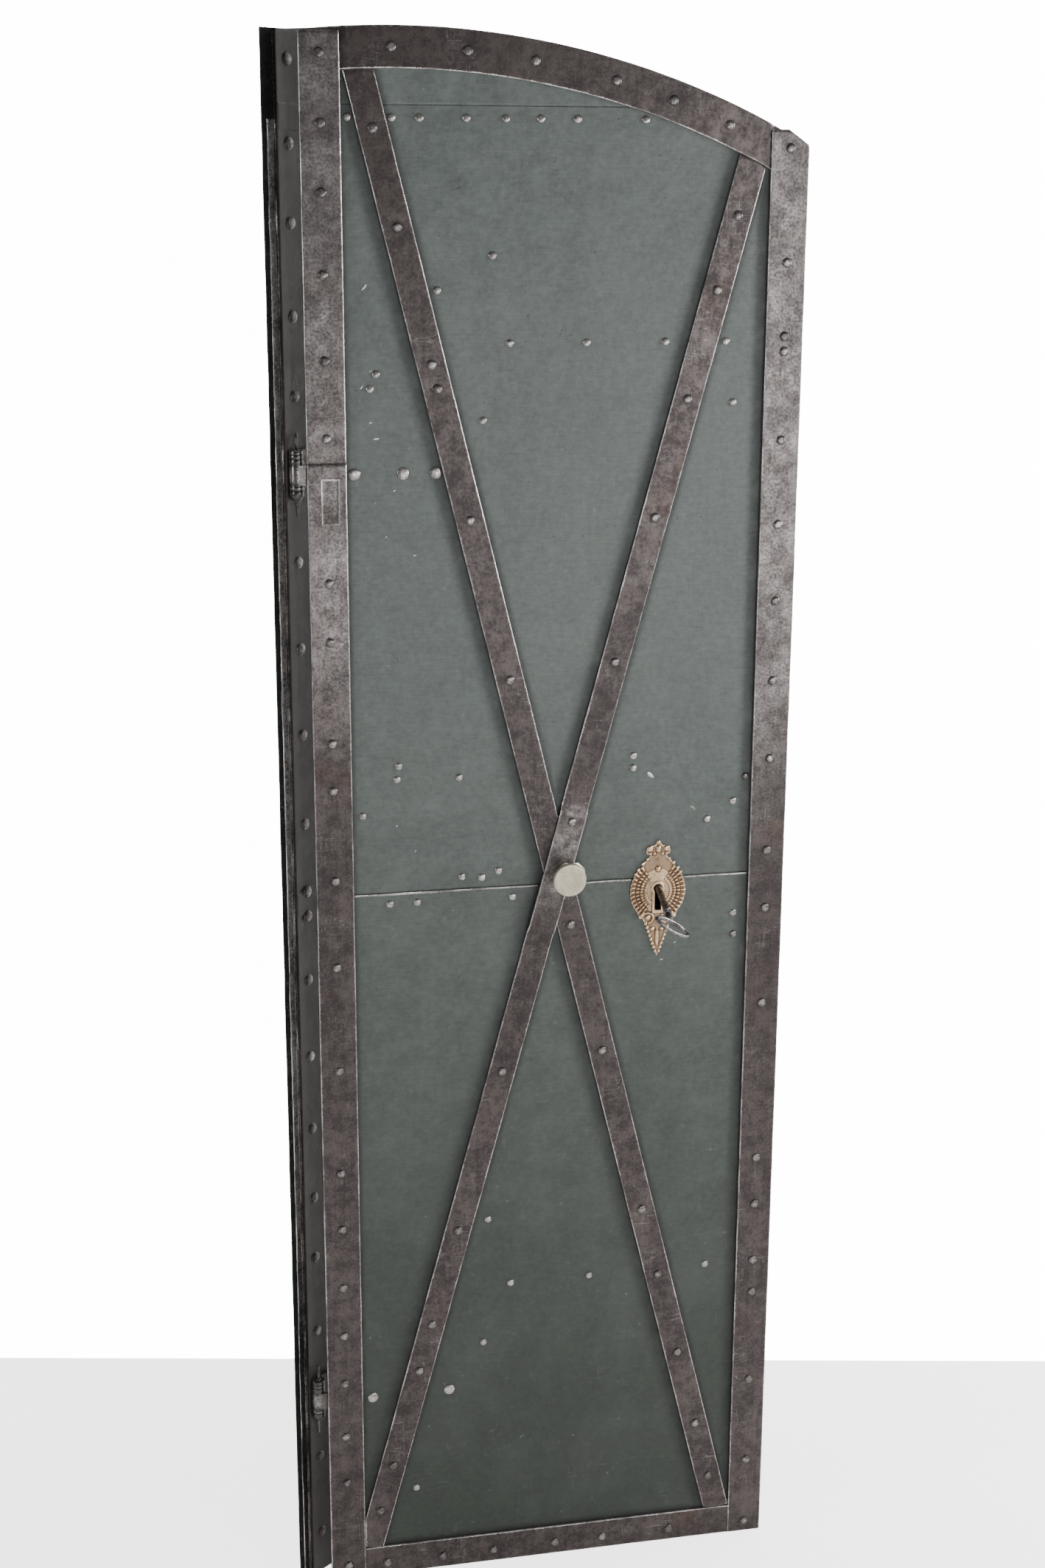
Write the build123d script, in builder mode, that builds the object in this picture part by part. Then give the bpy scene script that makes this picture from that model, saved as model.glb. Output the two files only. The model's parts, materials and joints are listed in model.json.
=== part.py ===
from build123d import *
from math import asin, atan2, cos, degrees, hypot, pi, radians, sin, sqrt
import os

os.makedirs("parts", exist_ok=True)

# An iron folding door, in millimetres: two riveted leaves under one shallow arch, joined by
# loose-pin hinges and standing part folded. The origin is under the middle of the front leaf's
# bottom rail. +X runs to the lock edge, +Y away from the viewer, and +Z up.

# Leaf outline
leaf_width = 570.0
leaf_height = 1880.0
arch_radius = 962.0
arch_crown_from_fold = 105.0
arch_crown_over_stile = 6.6

# Sheets
sheet_thickness = 1.5
high_seam_drop = 75.0
low_seam_height = 917.0
lap_depth = 25.0
joggle_length = 3.0

# Frame bars
frame_width = 44.0
stile_thickness = 5.0
rail_thickness = 4.0
sill_height = 40.0
corner_tongue = 2.0
joint_gap = 0.3
stile_splice_over_hinge = 13.0
shoulder_inset = 24.0
shoulder_rise = 4.0

# Braces
brace_width = 33.0
brace_thickness = 4.0
brace_gap = 0.5
under_brace_top_inset = 20.0
under_brace_foot_inset = 22.0
under_brace_foot_rise = 22.0
over_brace_top_inset = 21.0
over_brace_foot_inset = 9.0
over_brace_foot_rise = 10.0
crossing_flat = 70.0
crossing_ramp = 14.0

# Rivets
shank_radius = 2.5
shank_clearance = 0.1
frame_head_radius = 5.5
small_head_radius = 4.5
hinge_head_radius = 7.0
head_height = 2.4
tail_radius = 7.0
tail_height = 2.0
small_tail_radius = 5.0
head_slope = 35.0
tail_slope = 55.0

# Fold
fold_angle = 38.0
knuckle_radius = 8.0
knuckle_standoff = 0.5
front_edge_gap = 10.0
rear_edge_overlap = 7.0
high_hinge_share = 0.75053
low_hinge_share = 0.13511
middle_knuckle_length = 22.0
upper_knuckle_length = 15.5
lower_knuckle_length = 17.0
knuckle_gap = 0.5
lower_knuckle_taper = 5.0
hinge_plate_thickness = 4.0
hinge_strap_overhang = 12.0
rear_plate_start = 16.0
rear_plate_end = 92.0
pin_radius = 3.5
pin_clearance = 0.06
pin_tip_length = 20.0
pin_tip_radius = 1.0
ring_height = 19.0
ring_width = 12.0
ring_wire = 3.4

# Rear leaf
rear_stile_width = 32.0
cover_clearance = 0.5
cover_thickness = 2.5
cover_reach = 16.5
cover_width = 40.5
cover_over_stile = 3.0
rear_rivet_inset = 15.0

# Wall eyes on the rear leaf
eye_radius = 9.0
eye_bore_radius = 6.1
eye_length = 30.0
eye_offset = 11.0
eye_strap_reach = 40.0
eye_strap_thickness = 4.0
high_eye_share = 0.79255
low_eye_share = 0.15426

# Inner straps on the front leaf
strap_width = 30.0
strap_thickness = 4.0
high_strap_share = 0.82606
mid_strap_rise = 129.6
low_strap_share = 0.21011
strap_left_overhang = 20.0
strap_right_overhang = 25.0
mid_strap_left_overhang = 15.0
mid_strap_right_overhang = 12.0

# Knob
knob_offset = 8.0
knob_drop = 2.0
knob_disc_radius = 20.0
knob_disc_thickness = 6.0
knob_disc_round = 1.4
knob_stem_radius = 6.0
knob_base_radius = 10.0
knob_base_thickness = 3.0
knob_reach = 28.0
knob_shank_radius = 4.0
knob_shank_clearance = 0.2
rose_size = 34.0
rose_corner = 6.0
rose_shift = 7.0
rose_drop = 5.0
rose_thickness = 1.5
washer_radius = 10.0
washer_thickness = 2.0
nut_radius = 9.0
nut_thickness = 6.0
thread_end = 2.0

# Key and keyhole
key_backset = 157.0
key_drop_below_crossing = 29.425
keyhole_clearance = 1.5
keyhole_slot_width = 8.5
keyhole_slot_depth = 28.0
key_shank_radius = 4.0
key_elbow_reach = 8.0
key_droop = 23.0
key_arm_length = 56.5
key_bit_reach = 24.0
key_bit_thickness = 4.5
key_bit_length = 13.0
key_bit_depth = 6.5
key_ward_width = 2.4
key_ward_depth = 8.0
key_collar_radius = 5.6
key_collar_length = 3.0
key_collar_place = 42.0
key_pivot_radius = 3.0
key_pivot_clearance = 0.06
key_pivot_overrun = 1.0
bow_length = 25.0
bow_width = 54.0
bow_wire = 4.6
key_turn = 54.0

# Box lock on the inner side
case_edge_inset = 8.0
case_width = 190.0
case_foot_drop = 59.0
case_top_rise = 127.0
case_depth = 26.0
case_wall = 2.0
case_flange = 12.0
bolt_height = 30.0
bolt_thickness = 12.0
bolt_drop_below_key = 26.0
bolt_depth = 8.0
bolt_tail_behind_key = 21.0
bolt_shoulder_past_key = 27.0
bolt_throw = 20.0
bolt_rest_out = 3.0
bolt_clearance = 0.4
stump_radius = 3.0
stump_past_key = 67.0

# Escutcheon
plate_half_width = 34.5
plate_half_height = 38.0
plate_centre_drop = 4.0
plate_thickness = 1.8
plate_tail_drop = 87.0
finial_rise = 60.0
plate_neck_half_width = 17.0
plate_neck_height = 39.0
crown_lobe_radius = 6.0
crown_lobe_spacing = 17.0
crown_height = 51.0
bead_radius = 1.9
bead_height = 1.3
bead_slope = 30.0
rim_bead_share = 0.90
inner_bead_share = 0.60
keyhole_rim = 2.6
plate_pin_radius = 1.0
plate_pin_clearance = 0.1
plate_pin_head_radius = 2.0
plate_pin_head_height = 1.0

# Blank maker's recess on the fold stile
stamp_left = 16.0
stamp_drop = 67.0
stamp_width = 19.0
stamp_height = 49.0
stamp_depth = 0.6

# Rivet rows. Heights are shares of the leaf's height, and places along a rail are shares of
# its width, both counted from the fold edge and the floor. Brace rivets are shares of the
# brace's length from its top. Rivets in the field stand in one of the three bays that the
# braces leave between the stiles at their height, each at a share of that bay's width.
fold_stile_shares = (0.010, 0.074, 0.109, 0.149, 0.184, 0.219, 0.261, 0.301, 0.372, 0.442, 0.499,
                     0.557, 0.587, 0.650, 0.686, 0.772, 0.817, 0.866, 0.912, 0.950, 0.988)
lock_stile_shares = (0.008, 0.057, 0.120, 0.187, 0.211, 0.253, 0.287, 0.398, 0.464, 0.503, 0.564,
                     0.615, 0.666, 0.714, 0.766, 0.8195, 0.8285, 0.872, 0.938)
rear_stile_shares = (0.030, 0.088, 0.182, 0.236, 0.279, 0.328, 0.378, 0.430, 0.473, 0.489, 0.533,
                     0.590, 0.644, 0.697, 0.796, 0.842, 0.895, 0.939, 0.985)
arch_shares = (0.175, 0.321, 0.451, 0.609, 0.723, 0.837)
sill_shares = (0.126, 0.253, 0.370, 0.512, 0.623, 0.781)
under_brace_shares = (0.033, 0.091, 0.174, 0.189, 0.272, 0.377, 0.548, 0.641, 0.764, 0.816, 0.880,
                      0.940, 0.985)
over_brace_shares = (0.035, 0.083, 0.154, 0.233, 0.332, 0.444, 0.628, 0.750, 0.824, 0.861, 0.938,
                     0.975)
high_seam_bays = ((0, 0.678), (1, 0.003), (1, 0.104), (1, 0.276), (1, 0.422), (1, 0.552),
                  (1, 0.689), (1, 0.946))
low_seam_bays = ((0, 0.177), (0, 0.334), (0, 0.890))
sill_rivet_share = 0.4
field_margin = 6.0
hinge_margin = 8.0
high_strap_bays = ((1, 0.265), (1, 0.589), (1, 0.925), (2, 0.099))
low_strap_bays = ((1, 0.283), (1, 0.720), (2, 0.549))
high_hinge_bays = ((0, 0.011), (0, 0.601), (0, 1.0))
low_hinge_bays = ((0, 0.166), (1, 0.073))

# Rivets of the middle strap, each as its rise over the strap's middle, its bay and its share
mid_strap_rivets = ((8.0, 0, 0.271), (-8.0, 0, 0.254), (-9.0, 0, 0.648), (7.0, 2, 0.189), (-8.0, 2, 0.207))

# Loose rivets in the field, each as its share of the height, its bay and its share of the bay
field_rivets = ((0.8766, 1, 0.236), (0.8569, 1, 0.014), (0.7809, 1, 0.088), (0.7894, 2, 0.522),
                (0.8005, 0, 0.298), (0.8090, 0, 0.415), (0.5394, 0, 0.031), (0.2580, 1, 0.067),
                (0.1681, 1, 0.189), (0.0628, 1, 0.045))

# Loose rivets over the low seam, each as its rise over the seam, its bay and its share
seam_field_rivets = ((16.0, 0, 0.573), (14.0, 0, 0.687), (21.0, 0, 0.780))

# Rivets in front of the lock, each as its distances in from the case's right side and end
case_top_rivets = ((57.0, 23.0), (89.0, 44.0))
case_foot_rivets = ((53.0, 21.0),)
top_flange_inset = 43.0
foot_flange_inset = 52.0
flange_rivet_share = 0.583

# Hinge and wall eye rivets, and the escutcheon's pins round the key
rear_hinge_past_stile = (6.0, 42.0)
rear_hinge_rise = 16.0
eye_rivet_places = (11.0, 31.0)
plate_pin_offsets = ((0.0, 36.0), (0.0, -54.0), (-26.0, -4.0), (26.0, -4.0))

# Sizes that follow from the driving ones
rivet_hole_radius = shank_radius + shank_clearance
high_seam_height = leaf_height - high_seam_drop
high_hinge_height = high_hinge_share * leaf_height
low_hinge_height = low_hinge_share * leaf_height
high_eye_height = high_eye_share * leaf_height
low_eye_height = low_eye_share * leaf_height
high_strap_height = high_strap_share * leaf_height
low_strap_height = low_strap_share * leaf_height
stile_splice_height = high_hinge_height + stile_splice_over_hinge
stamp_foot = stile_splice_height - stamp_drop
arch_centre_height = leaf_height + arch_crown_over_stile - arch_radius
front_inner_face = -sheet_thickness
axis_level = -(sheet_thickness + knuckle_radius + knuckle_standoff)
rear_stile_thickness = stile_thickness + cover_clearance
sheet_face_y = rail_thickness / 2
axis_x = -leaf_width / 2 - front_edge_gap
axis_y = sheet_face_y - axis_level
fold = radians(fold_angle)


class Leaf:
    """One leaf: its sketch plane, x from the fold edge and y up, and the side it faces."""

    def __init__(self, name, plane, outward):
        self.name = name
        self.plane = plane
        self.outward = outward
        normal = plane.z_dir * outward
        self.edge_plane = Plane(plane.origin, x_dir=normal, z_dir=normal.cross(Vector(0, 0, 1)))

    def level(self, depth):
        """The sketch plane at a level: 0 is the sheet's outer face, and outside is positive."""
        return self.plane.offset(self.outward * depth)

    def at(self, along, height, depth=0.0):
        """The point in the part's frame at a place on the leaf."""
        return self.plane.from_local_coords(Vector(along, height, self.outward * depth))


rear_along = Vector(cos(fold), sin(fold), 0)
rear_inward = Vector(sin(fold), -cos(fold), 0)
fold_axis = Vector(axis_x, axis_y, 0)
rear_corner = fold_axis - rear_along * rear_edge_overlap + rear_inward * axis_level
front = Leaf("front", Plane((-leaf_width / 2, sheet_face_y, 0), x_dir=(1, 0, 0), z_dir=(0, -1, 0)), 1)
rear = Leaf("rear", Plane(rear_corner, x_dir=rear_along, z_dir=rear_inward), -1)


def write(piece, label):
    """Labels a finished piece and writes its STEP file."""
    piece.part.label = label
    export_step(piece.part, f"parts/{label}.step")


def arch_height(along, cut=0.0):
    """Height of the arch over a place on the leaf, or of an arc that lies inside it by cut."""
    return arch_centre_height + sqrt((arch_radius - cut) ** 2 - (along - arch_crown_from_fold) ** 2)


def under_arch(left, right, foot, cut):
    """The area between two uprights, from a foot up to an arc that lies inside the arch."""
    middle = (left + right) / 2
    with BuildSketch() as area:
        with BuildLine():
            Polyline((left, arch_height(left, cut)), (left, foot), (right, foot),
                     (right, arch_height(right, cut)))
            ThreePointArc((left, arch_height(left, cut)), (middle, arch_height(middle, cut)),
                          (right, arch_height(right, cut)))
        make_face()
    return area.sketch


def box_area(left, right, foot, top):
    """A rectangle given by its four sides."""
    with BuildSketch() as area:
        with Locations(((left + right) / 2, (foot + top) / 2)):
            Rectangle(right - left, top - foot)
    return area.sketch


def crossing_of(first, second):
    """Where two straight bars, each given by its two ends, cross."""
    (ax, ay), (bx, by) = first
    (cx, cy), (dx, dy) = second
    share = ((cx - ax) * (dy - cy) - (cy - ay) * (dx - cx)) / ((bx - ax) * (dy - cy) - (by - ay) * (dx - cx))
    return (ax + share * (bx - ax), ay + share * (by - ay))


def along_bar(ends, shares):
    """Places along a straight bar, as shares of its length."""
    (ax, ay), (bx, by) = ends
    return [(ax + share * (bx - ax), ay + share * (by - ay)) for share in shares]


under_brace_ends = ((frame_width + under_brace_top_inset, leaf_height - sill_height),
                    (leaf_width - frame_width - under_brace_foot_inset, sill_height + under_brace_foot_rise))
over_brace_top = leaf_width - frame_width - over_brace_top_inset
over_brace_ends = ((over_brace_top, arch_height(over_brace_top, frame_width) - brace_gap),
                   (frame_width + over_brace_foot_inset, sill_height + over_brace_foot_rise))
crossing = crossing_of(under_brace_ends, over_brace_ends)
knob_spot = (crossing[0] + knob_offset, crossing[1] - knob_drop)
mid_strap_height = crossing[1] + mid_strap_rise
key_from_fold = leaf_width - key_backset
key_height = crossing[1] - key_drop_below_crossing
case_right = leaf_width - case_edge_inset
case_left = case_right - case_width
case_foot = key_height - case_foot_drop
case_top = key_height + case_top_rise


def brace_sides(ends, height):
    """The two edges of a brace at a height, from the fold edge."""
    (ax, ay), (bx, by) = ends
    middle = ax + (height - ay) * (bx - ax) / (by - ay)
    half = brace_width / 2 * hypot(bx - ax, by - ay) / abs(by - ay)
    return (middle - half, middle + half)


def bay_spots(rivets, margin):
    """Rivet places in the bays. A rivet is its height, its bay and its share of the bay."""
    spots = []
    for height, bay, share in rivets:
        first, last = sorted((brace_sides(under_brace_ends, height), brace_sides(over_brace_ends, height)))
        rise = max(height - arch_centre_height, 0)
        arch_end = arch_crown_from_fold + sqrt((arch_radius - frame_width) ** 2 - rise ** 2)
        end = min(leaf_width - frame_width, arch_end)
        left = (frame_width, first[1], last[1])[bay] + margin
        right = (first[0], min(last[0], end), end)[bay] - margin
        spots.append((left + share * (right - left), height))
    return spots


def bay_row(height, bays, margin):
    """Rivet places in the bays at one height."""
    return bay_spots([(height, bay, share) for bay, share in bays], margin)


leaf_area = under_arch(0, leaf_width, 0, 0)
arch_hollow = under_arch(0, leaf_width, 0, frame_width)
between_stiles = box_area(frame_width + joint_gap, leaf_width - frame_width - joint_gap, 0,
                          leaf_height + frame_width)
panel_area = under_arch(frame_width + brace_gap, leaf_width - frame_width - brace_gap,
                        sill_height + brace_gap, frame_width + brace_gap)


def key_shape(margin=0.0):
    """The keyhole's outline, grown by a margin."""
    with BuildSketch() as opening:
        with Locations((key_from_fold, key_height)):
            Circle(key_shank_radius + keyhole_clearance + margin)
        with Locations((key_from_fold, key_height - keyhole_slot_depth / 2 - margin / 2)):
            Rectangle(keyhole_slot_width + 2 * margin, keyhole_slot_depth + margin)
    return opening.sketch


plate_pin_spots = [(key_from_fold + across, key_height + up) for across, up in plate_pin_offsets]
with BuildSketch() as plate_openings:
    add(key_shape())
    with Locations(*plate_pin_spots):
        Circle(plate_pin_radius + plate_pin_clearance)


def sheet_back(along, height):
    """Level of the sheets' inner face at a place, which is deeper where two sheets lap."""
    for seam in (low_seam_height, high_seam_height):
        if seam - lap_depth - tail_radius < height < seam + joggle_length + tail_radius:
            return -2 * sheet_thickness
    return -sheet_thickness


def strap_back(along, height):
    """Level of the front leaf's inner face at a place, on a strap where one lies there."""
    for strap_height, left, right in straps:
        if abs(height - strap_height) < strap_width / 2 and left < along < right:
            return -sheet_thickness - strap_thickness
    return sheet_back(along, height)


def stile_spots(inset, shares):
    """Rivet places up a stile."""
    return [(inset, share * leaf_height) for share in shares]


arch_spots = [(share * leaf_width, arch_height(share * leaf_width, frame_width / 2)) for share in arch_shares]
sill_spots = [(share * leaf_width, sill_rivet_share * sill_height) for share in sill_shares]
high_seam_spots = bay_row(high_seam_height - lap_depth / 2, high_seam_bays, field_margin)
low_seam_spots = bay_row(low_seam_height - lap_depth / 2, low_seam_bays, field_margin)
under_brace_spots = along_bar(under_brace_ends, under_brace_shares)
over_brace_spots = along_bar(over_brace_ends, over_brace_shares)
fold_spots = stile_spots(frame_width / 2, fold_stile_shares)
lock_stile_spots = stile_spots(leaf_width - frame_width / 2, lock_stile_shares)
rear_fold_spots = stile_spots(rear_rivet_inset, rear_stile_shares)
high_strap_spots = bay_row(high_strap_height, high_strap_bays, field_margin)
low_strap_spots = bay_row(low_strap_height, low_strap_bays, field_margin)
mid_strap_spots = bay_spots([(mid_strap_height + rise, bay, share) for rise, bay, share in mid_strap_rivets],
                            field_margin)
strap_spots = high_strap_spots + low_strap_spots + mid_strap_spots
straps = ((high_strap_height, high_strap_spots[0][0] - strap_left_overhang,
           high_strap_spots[-1][0] + strap_right_overhang),
          (mid_strap_height, mid_strap_spots[1][0] - mid_strap_left_overhang,
           mid_strap_spots[3][0] + mid_strap_right_overhang),
          (low_strap_height, low_strap_spots[0][0] - strap_left_overhang,
           low_strap_spots[-1][0] + strap_right_overhang))
high_hinge_spots = bay_row(high_hinge_height, high_hinge_bays, hinge_margin)
low_hinge_spots = bay_row(low_hinge_height, low_hinge_bays, hinge_margin)
front_hinge_spots = high_hinge_spots + low_hinge_spots
front_strap_length = max(high_hinge_spots[-1][0], low_hinge_spots[-1][0]) + hinge_strap_overhang
rear_hinge_places = [rear_stile_width + past for past in rear_hinge_past_stile]
field_spots = bay_spots([(share * leaf_height, bay, place) for share, bay, place in field_rivets], field_margin)
field_spots += bay_spots([(low_seam_height + rise, bay, share) for rise, bay, share in seam_field_rivets],
                         field_margin)
field_spots += [(case_right - across, case_top - drop) for across, drop in case_top_rivets]
field_spots += [(case_right - across, case_foot + rise) for across, rise in case_foot_rivets]
flange_rise = flange_rivet_share * case_flange
lock_spots = [(case_right - top_flange_inset, case_top + flange_rise),
              (case_right - foot_flange_inset, case_foot - flange_rise)]
rear_hinge_spots = [(place, height + side * rear_hinge_rise) for place in rear_hinge_places
                    for height in (high_hinge_height, low_hinge_height) for side in (-1, 1)]
eye_spots = [(leaf_width - place, height) for place in eye_rivet_places
             for height in (high_eye_height, low_eye_height)]
shared_spots = arch_spots + sill_spots + high_seam_spots + low_seam_spots
shared_spots += under_brace_spots + over_brace_spots
front_spots = shared_spots + fold_spots + lock_stile_spots + strap_spots + front_hinge_spots
front_spots += lock_spots + field_spots
rear_spots = shared_spots + rear_fold_spots + lock_stile_spots + rear_hinge_spots + eye_spots


def between(spots, foot, top):
    """The rivet places that lie between two heights."""
    return [spot for spot in spots if foot - shank_radius < spot[1] < top + shank_radius]


def make_sheet(leaf, label, foot, top, laps_down, spots, with_keyhole=False, with_knob=False):
    """One sheet of a leaf, with its lower edge set back behind the sheet below it."""
    thick = sheet_thickness
    with BuildPart() as sheet:
        with BuildSketch(leaf.edge_plane):
            with BuildLine():
                if laps_down:
                    Polyline((0, top), (0, foot + joggle_length), (-thick, foot), (-thick, foot - lap_depth),
                             (-2 * thick, foot - lap_depth), (-2 * thick, foot),
                             (-thick, foot + joggle_length), (-thick, top), close=True)
                else:
                    Polyline((0, top), (0, foot), (-thick, foot), (-thick, top), close=True)
            make_face()
        extrude(amount=-leaf.outward * leaf_width)
        with BuildSketch(leaf.level(-3 * thick)):
            add(leaf_area)
        extrude(amount=leaf.outward * 6 * thick, mode=Mode.INTERSECT)
        with BuildSketch(leaf.level(-3 * thick)):
            with Locations(*between(spots, foot - lap_depth, top)):
                Circle(rivet_hole_radius)
            if with_keyhole:
                add(plate_openings.sketch)
            if with_knob:
                with Locations(knob_spot):
                    Circle(knob_shank_radius + knob_shank_clearance)
        extrude(amount=leaf.outward * 6 * thick, mode=Mode.SUBTRACT)
    write(sheet, label)


def make_stile(leaf, label, corners, thickness, spots, with_recess=False):
    """An upright frame bar, rebated at its ends over the tongues of the arch and the sill."""
    with BuildPart() as stile:
        with BuildSketch(leaf.level(0)):
            with BuildLine():
                Polyline(*corners, close=True)
            make_face()
        extrude(amount=leaf.outward * thickness)
        with BuildSketch(leaf.level(0)):
            add(leaf_area)
            add(arch_hollow, mode=Mode.SUBTRACT)
            with Locations((leaf_width / 2, sill_height / 2)):
                Rectangle(leaf_width, sill_height)
        extrude(amount=leaf.outward * corner_tongue, mode=Mode.SUBTRACT)
        with BuildSketch(leaf.level(0)):
            with Locations(*spots):
                Circle(rivet_hole_radius)
        extrude(amount=leaf.outward * thickness, mode=Mode.SUBTRACT)
        if with_recess:
            with BuildSketch(leaf.level(thickness)):
                add(box_area(stamp_left, stamp_left + stamp_width, stamp_foot, stamp_foot + stamp_height))
            extrude(amount=-leaf.outward * stamp_depth, mode=Mode.SUBTRACT)
    write(stile, label)


def make_arch_bar(leaf, label, spots):
    """The curved top bar, thinned to a tongue under each stile."""
    with BuildPart() as bar:
        with BuildSketch(leaf.level(0)):
            add(leaf_area)
            add(arch_hollow, mode=Mode.SUBTRACT)
        extrude(amount=leaf.outward * corner_tongue)
        with BuildSketch(leaf.level(corner_tongue)):
            add(leaf_area)
            add(arch_hollow, mode=Mode.SUBTRACT)
            add(between_stiles, mode=Mode.INTERSECT)
        extrude(amount=leaf.outward * (rail_thickness - corner_tongue))
        with BuildSketch(leaf.level(0)):
            with Locations(*spots):
                Circle(rivet_hole_radius)
        extrude(amount=leaf.outward * rail_thickness, mode=Mode.SUBTRACT)
    write(bar, label)


def make_sill(leaf, label, spots):
    """The bottom bar, thinned to a tongue under each stile."""
    with BuildPart() as bar:
        with BuildSketch(leaf.level(0)):
            with Locations((leaf_width / 2, sill_height / 2)):
                Rectangle(leaf_width, sill_height)
        extrude(amount=leaf.outward * corner_tongue)
        with BuildSketch(leaf.level(corner_tongue)):
            with Locations((leaf_width / 2, sill_height / 2)):
                Rectangle(leaf_width - 2 * frame_width - 2 * joint_gap, sill_height)
        extrude(amount=leaf.outward * (rail_thickness - corner_tongue))
        with BuildSketch(leaf.level(0)):
            with Locations(*spots):
                Circle(rivet_hole_radius)
        extrude(amount=leaf.outward * rail_thickness, mode=Mode.SUBTRACT)
    write(bar, label)


def brace_holes(spots, with_knob):
    """The holes through a brace: its own rivets, and the knob's shank at the crossing."""
    with BuildSketch() as holes:
        with Locations(*spots):
            Circle(rivet_hole_radius)
        if with_knob:
            with Locations(knob_spot):
                Circle(knob_shank_radius + knob_shank_clearance)
    return holes.sketch


def make_under_brace(leaf, label, with_knob):
    """The straight brace from the top of the fold edge to the foot of the far edge."""
    (top_x, top_z), (foot_x, foot_z) = under_brace_ends
    length = hypot(foot_x - top_x, foot_z - top_z) + 4 * frame_width
    with BuildPart() as brace:
        with BuildSketch(leaf.level(0)):
            with Locations(((top_x + foot_x) / 2, (top_z + foot_z) / 2)):
                Rectangle(length, brace_width, rotation=degrees(atan2(foot_z - top_z, foot_x - top_x)))
            add(panel_area, mode=Mode.INTERSECT)
            add(brace_holes(under_brace_spots, with_knob), mode=Mode.SUBTRACT)
        extrude(amount=leaf.outward * brace_thickness)
    write(brace, label)


def make_over_brace(leaf, label, with_knob):
    """The brace that is set out over the other one where they cross."""
    (top_x, top_z), (foot_x, foot_z) = over_brace_ends
    length = hypot(foot_x - top_x, foot_z - top_z)
    up = (leaf.at(top_x, top_z) - leaf.at(foot_x, foot_z)).normalized()
    normal = leaf.plane.z_dir * leaf.outward
    side = Plane(leaf.at(*crossing), x_dir=up, z_dir=up.cross(normal))
    thick = brace_thickness
    bend = crossing_flat + crossing_ramp
    with BuildPart() as brace:
        with BuildSketch(side):
            with BuildLine():
                Polyline((-length, 0), (-bend, 0), (-crossing_flat, thick), (crossing_flat, thick), (bend, 0),
                         (length, 0), (length, thick), (bend, thick), (crossing_flat, 2 * thick),
                         (-crossing_flat, 2 * thick), (-bend, thick), (-length, thick), close=True)
            make_face()
        extrude(amount=brace_width / 2, both=True)
        with BuildSketch(leaf.level(-thick)):
            add(panel_area)
            add(brace_holes(over_brace_spots, with_knob), mode=Mode.SUBTRACT)
        extrude(amount=leaf.outward * 4 * thick, mode=Mode.INTERSECT)
    write(brace, label)


def make_rivets(leaf, label, rows):
    """A group of rivets. A row is its places, head level, tail level, head and tail radius."""
    with BuildPart() as rivets:
        for spots, head_level, tail_level, head_radius, back_radius in rows:
            with BuildSketch(leaf.level(tail_level)):
                with Locations(*spots):
                    Circle(shank_radius)
            extrude(amount=leaf.outward * (head_level - tail_level))
            with BuildSketch(leaf.level(head_level)):
                with Locations(*spots):
                    Circle(head_radius)
            extrude(amount=leaf.outward * head_height, taper=head_slope)
            with BuildSketch(leaf.level(tail_level)):
                with Locations(*spots):
                    Circle(back_radius)
            extrude(amount=-leaf.outward * tail_height, taper=tail_slope)
    write(rivets, label)


def rows_by_back(spots, head_level, back_of, head_radius, back_radius):
    """Splits rivet places into rows that share one tail level."""
    levels = sorted({back_of(*spot) for spot in spots})
    return [([spot for spot in spots if back_of(*spot) == level], head_level, level,
             head_radius, back_radius) for level in levels]


def over_brace_rows(back_of):
    """Rows of the over brace, whose heads stand further out where it passes over the other."""
    high = []
    low = []
    for spot in over_brace_spots:
        away = hypot(spot[0] - crossing[0], spot[1] - crossing[1])
        (high if away < crossing_flat else low).append(spot)
    rows = rows_by_back(low, brace_thickness, back_of, frame_head_radius, tail_radius)
    rows += rows_by_back(high, 2 * brace_thickness, back_of, frame_head_radius, tail_radius)
    return rows


def make_shared_pieces(leaf, spots, back_of):
    """The sheets, frame rails, braces and rivets that both leaves have."""
    has_lock = leaf.name == "front"
    make_sheet(leaf, f"{leaf.name}_bottom_sheet", 0, low_seam_height, False, spots, has_lock)
    make_sheet(leaf, f"{leaf.name}_middle_sheet", low_seam_height, high_seam_height, True, spots, has_lock,
               has_lock)
    make_sheet(leaf, f"{leaf.name}_top_sheet", high_seam_height, leaf_height + frame_width, True, spots)
    stile_places = stile_spots_of(leaf)
    make_arch_bar(leaf, f"{leaf.name}_arch_bar", arch_spots + stile_places)
    make_sill(leaf, f"{leaf.name}_sill_bar", sill_spots + stile_places)
    make_under_brace(leaf, f"{leaf.name}_under_brace", has_lock)
    make_over_brace(leaf, f"{leaf.name}_over_brace", has_lock)
    make_rivets(leaf, f"{leaf.name}_rail_rivets",
                rows_by_back(arch_spots + sill_spots, rail_thickness, back_of,
                             frame_head_radius, tail_radius))
    make_rivets(leaf, f"{leaf.name}_brace_rivets",
                rows_by_back(under_brace_spots, brace_thickness, back_of, frame_head_radius, tail_radius)
                + over_brace_rows(back_of))
    make_rivets(leaf, f"{leaf.name}_seam_rivets",
                rows_by_back(high_seam_spots + low_seam_spots, 0, back_of,
                             small_head_radius, small_tail_radius))


def stile_spots_of(leaf):
    """The stile rivets of a leaf, some of which pass through the tongues at the corners."""
    fold_side = fold_spots if leaf.name == "front" else rear_fold_spots
    return fold_side + lock_stile_spots


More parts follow.
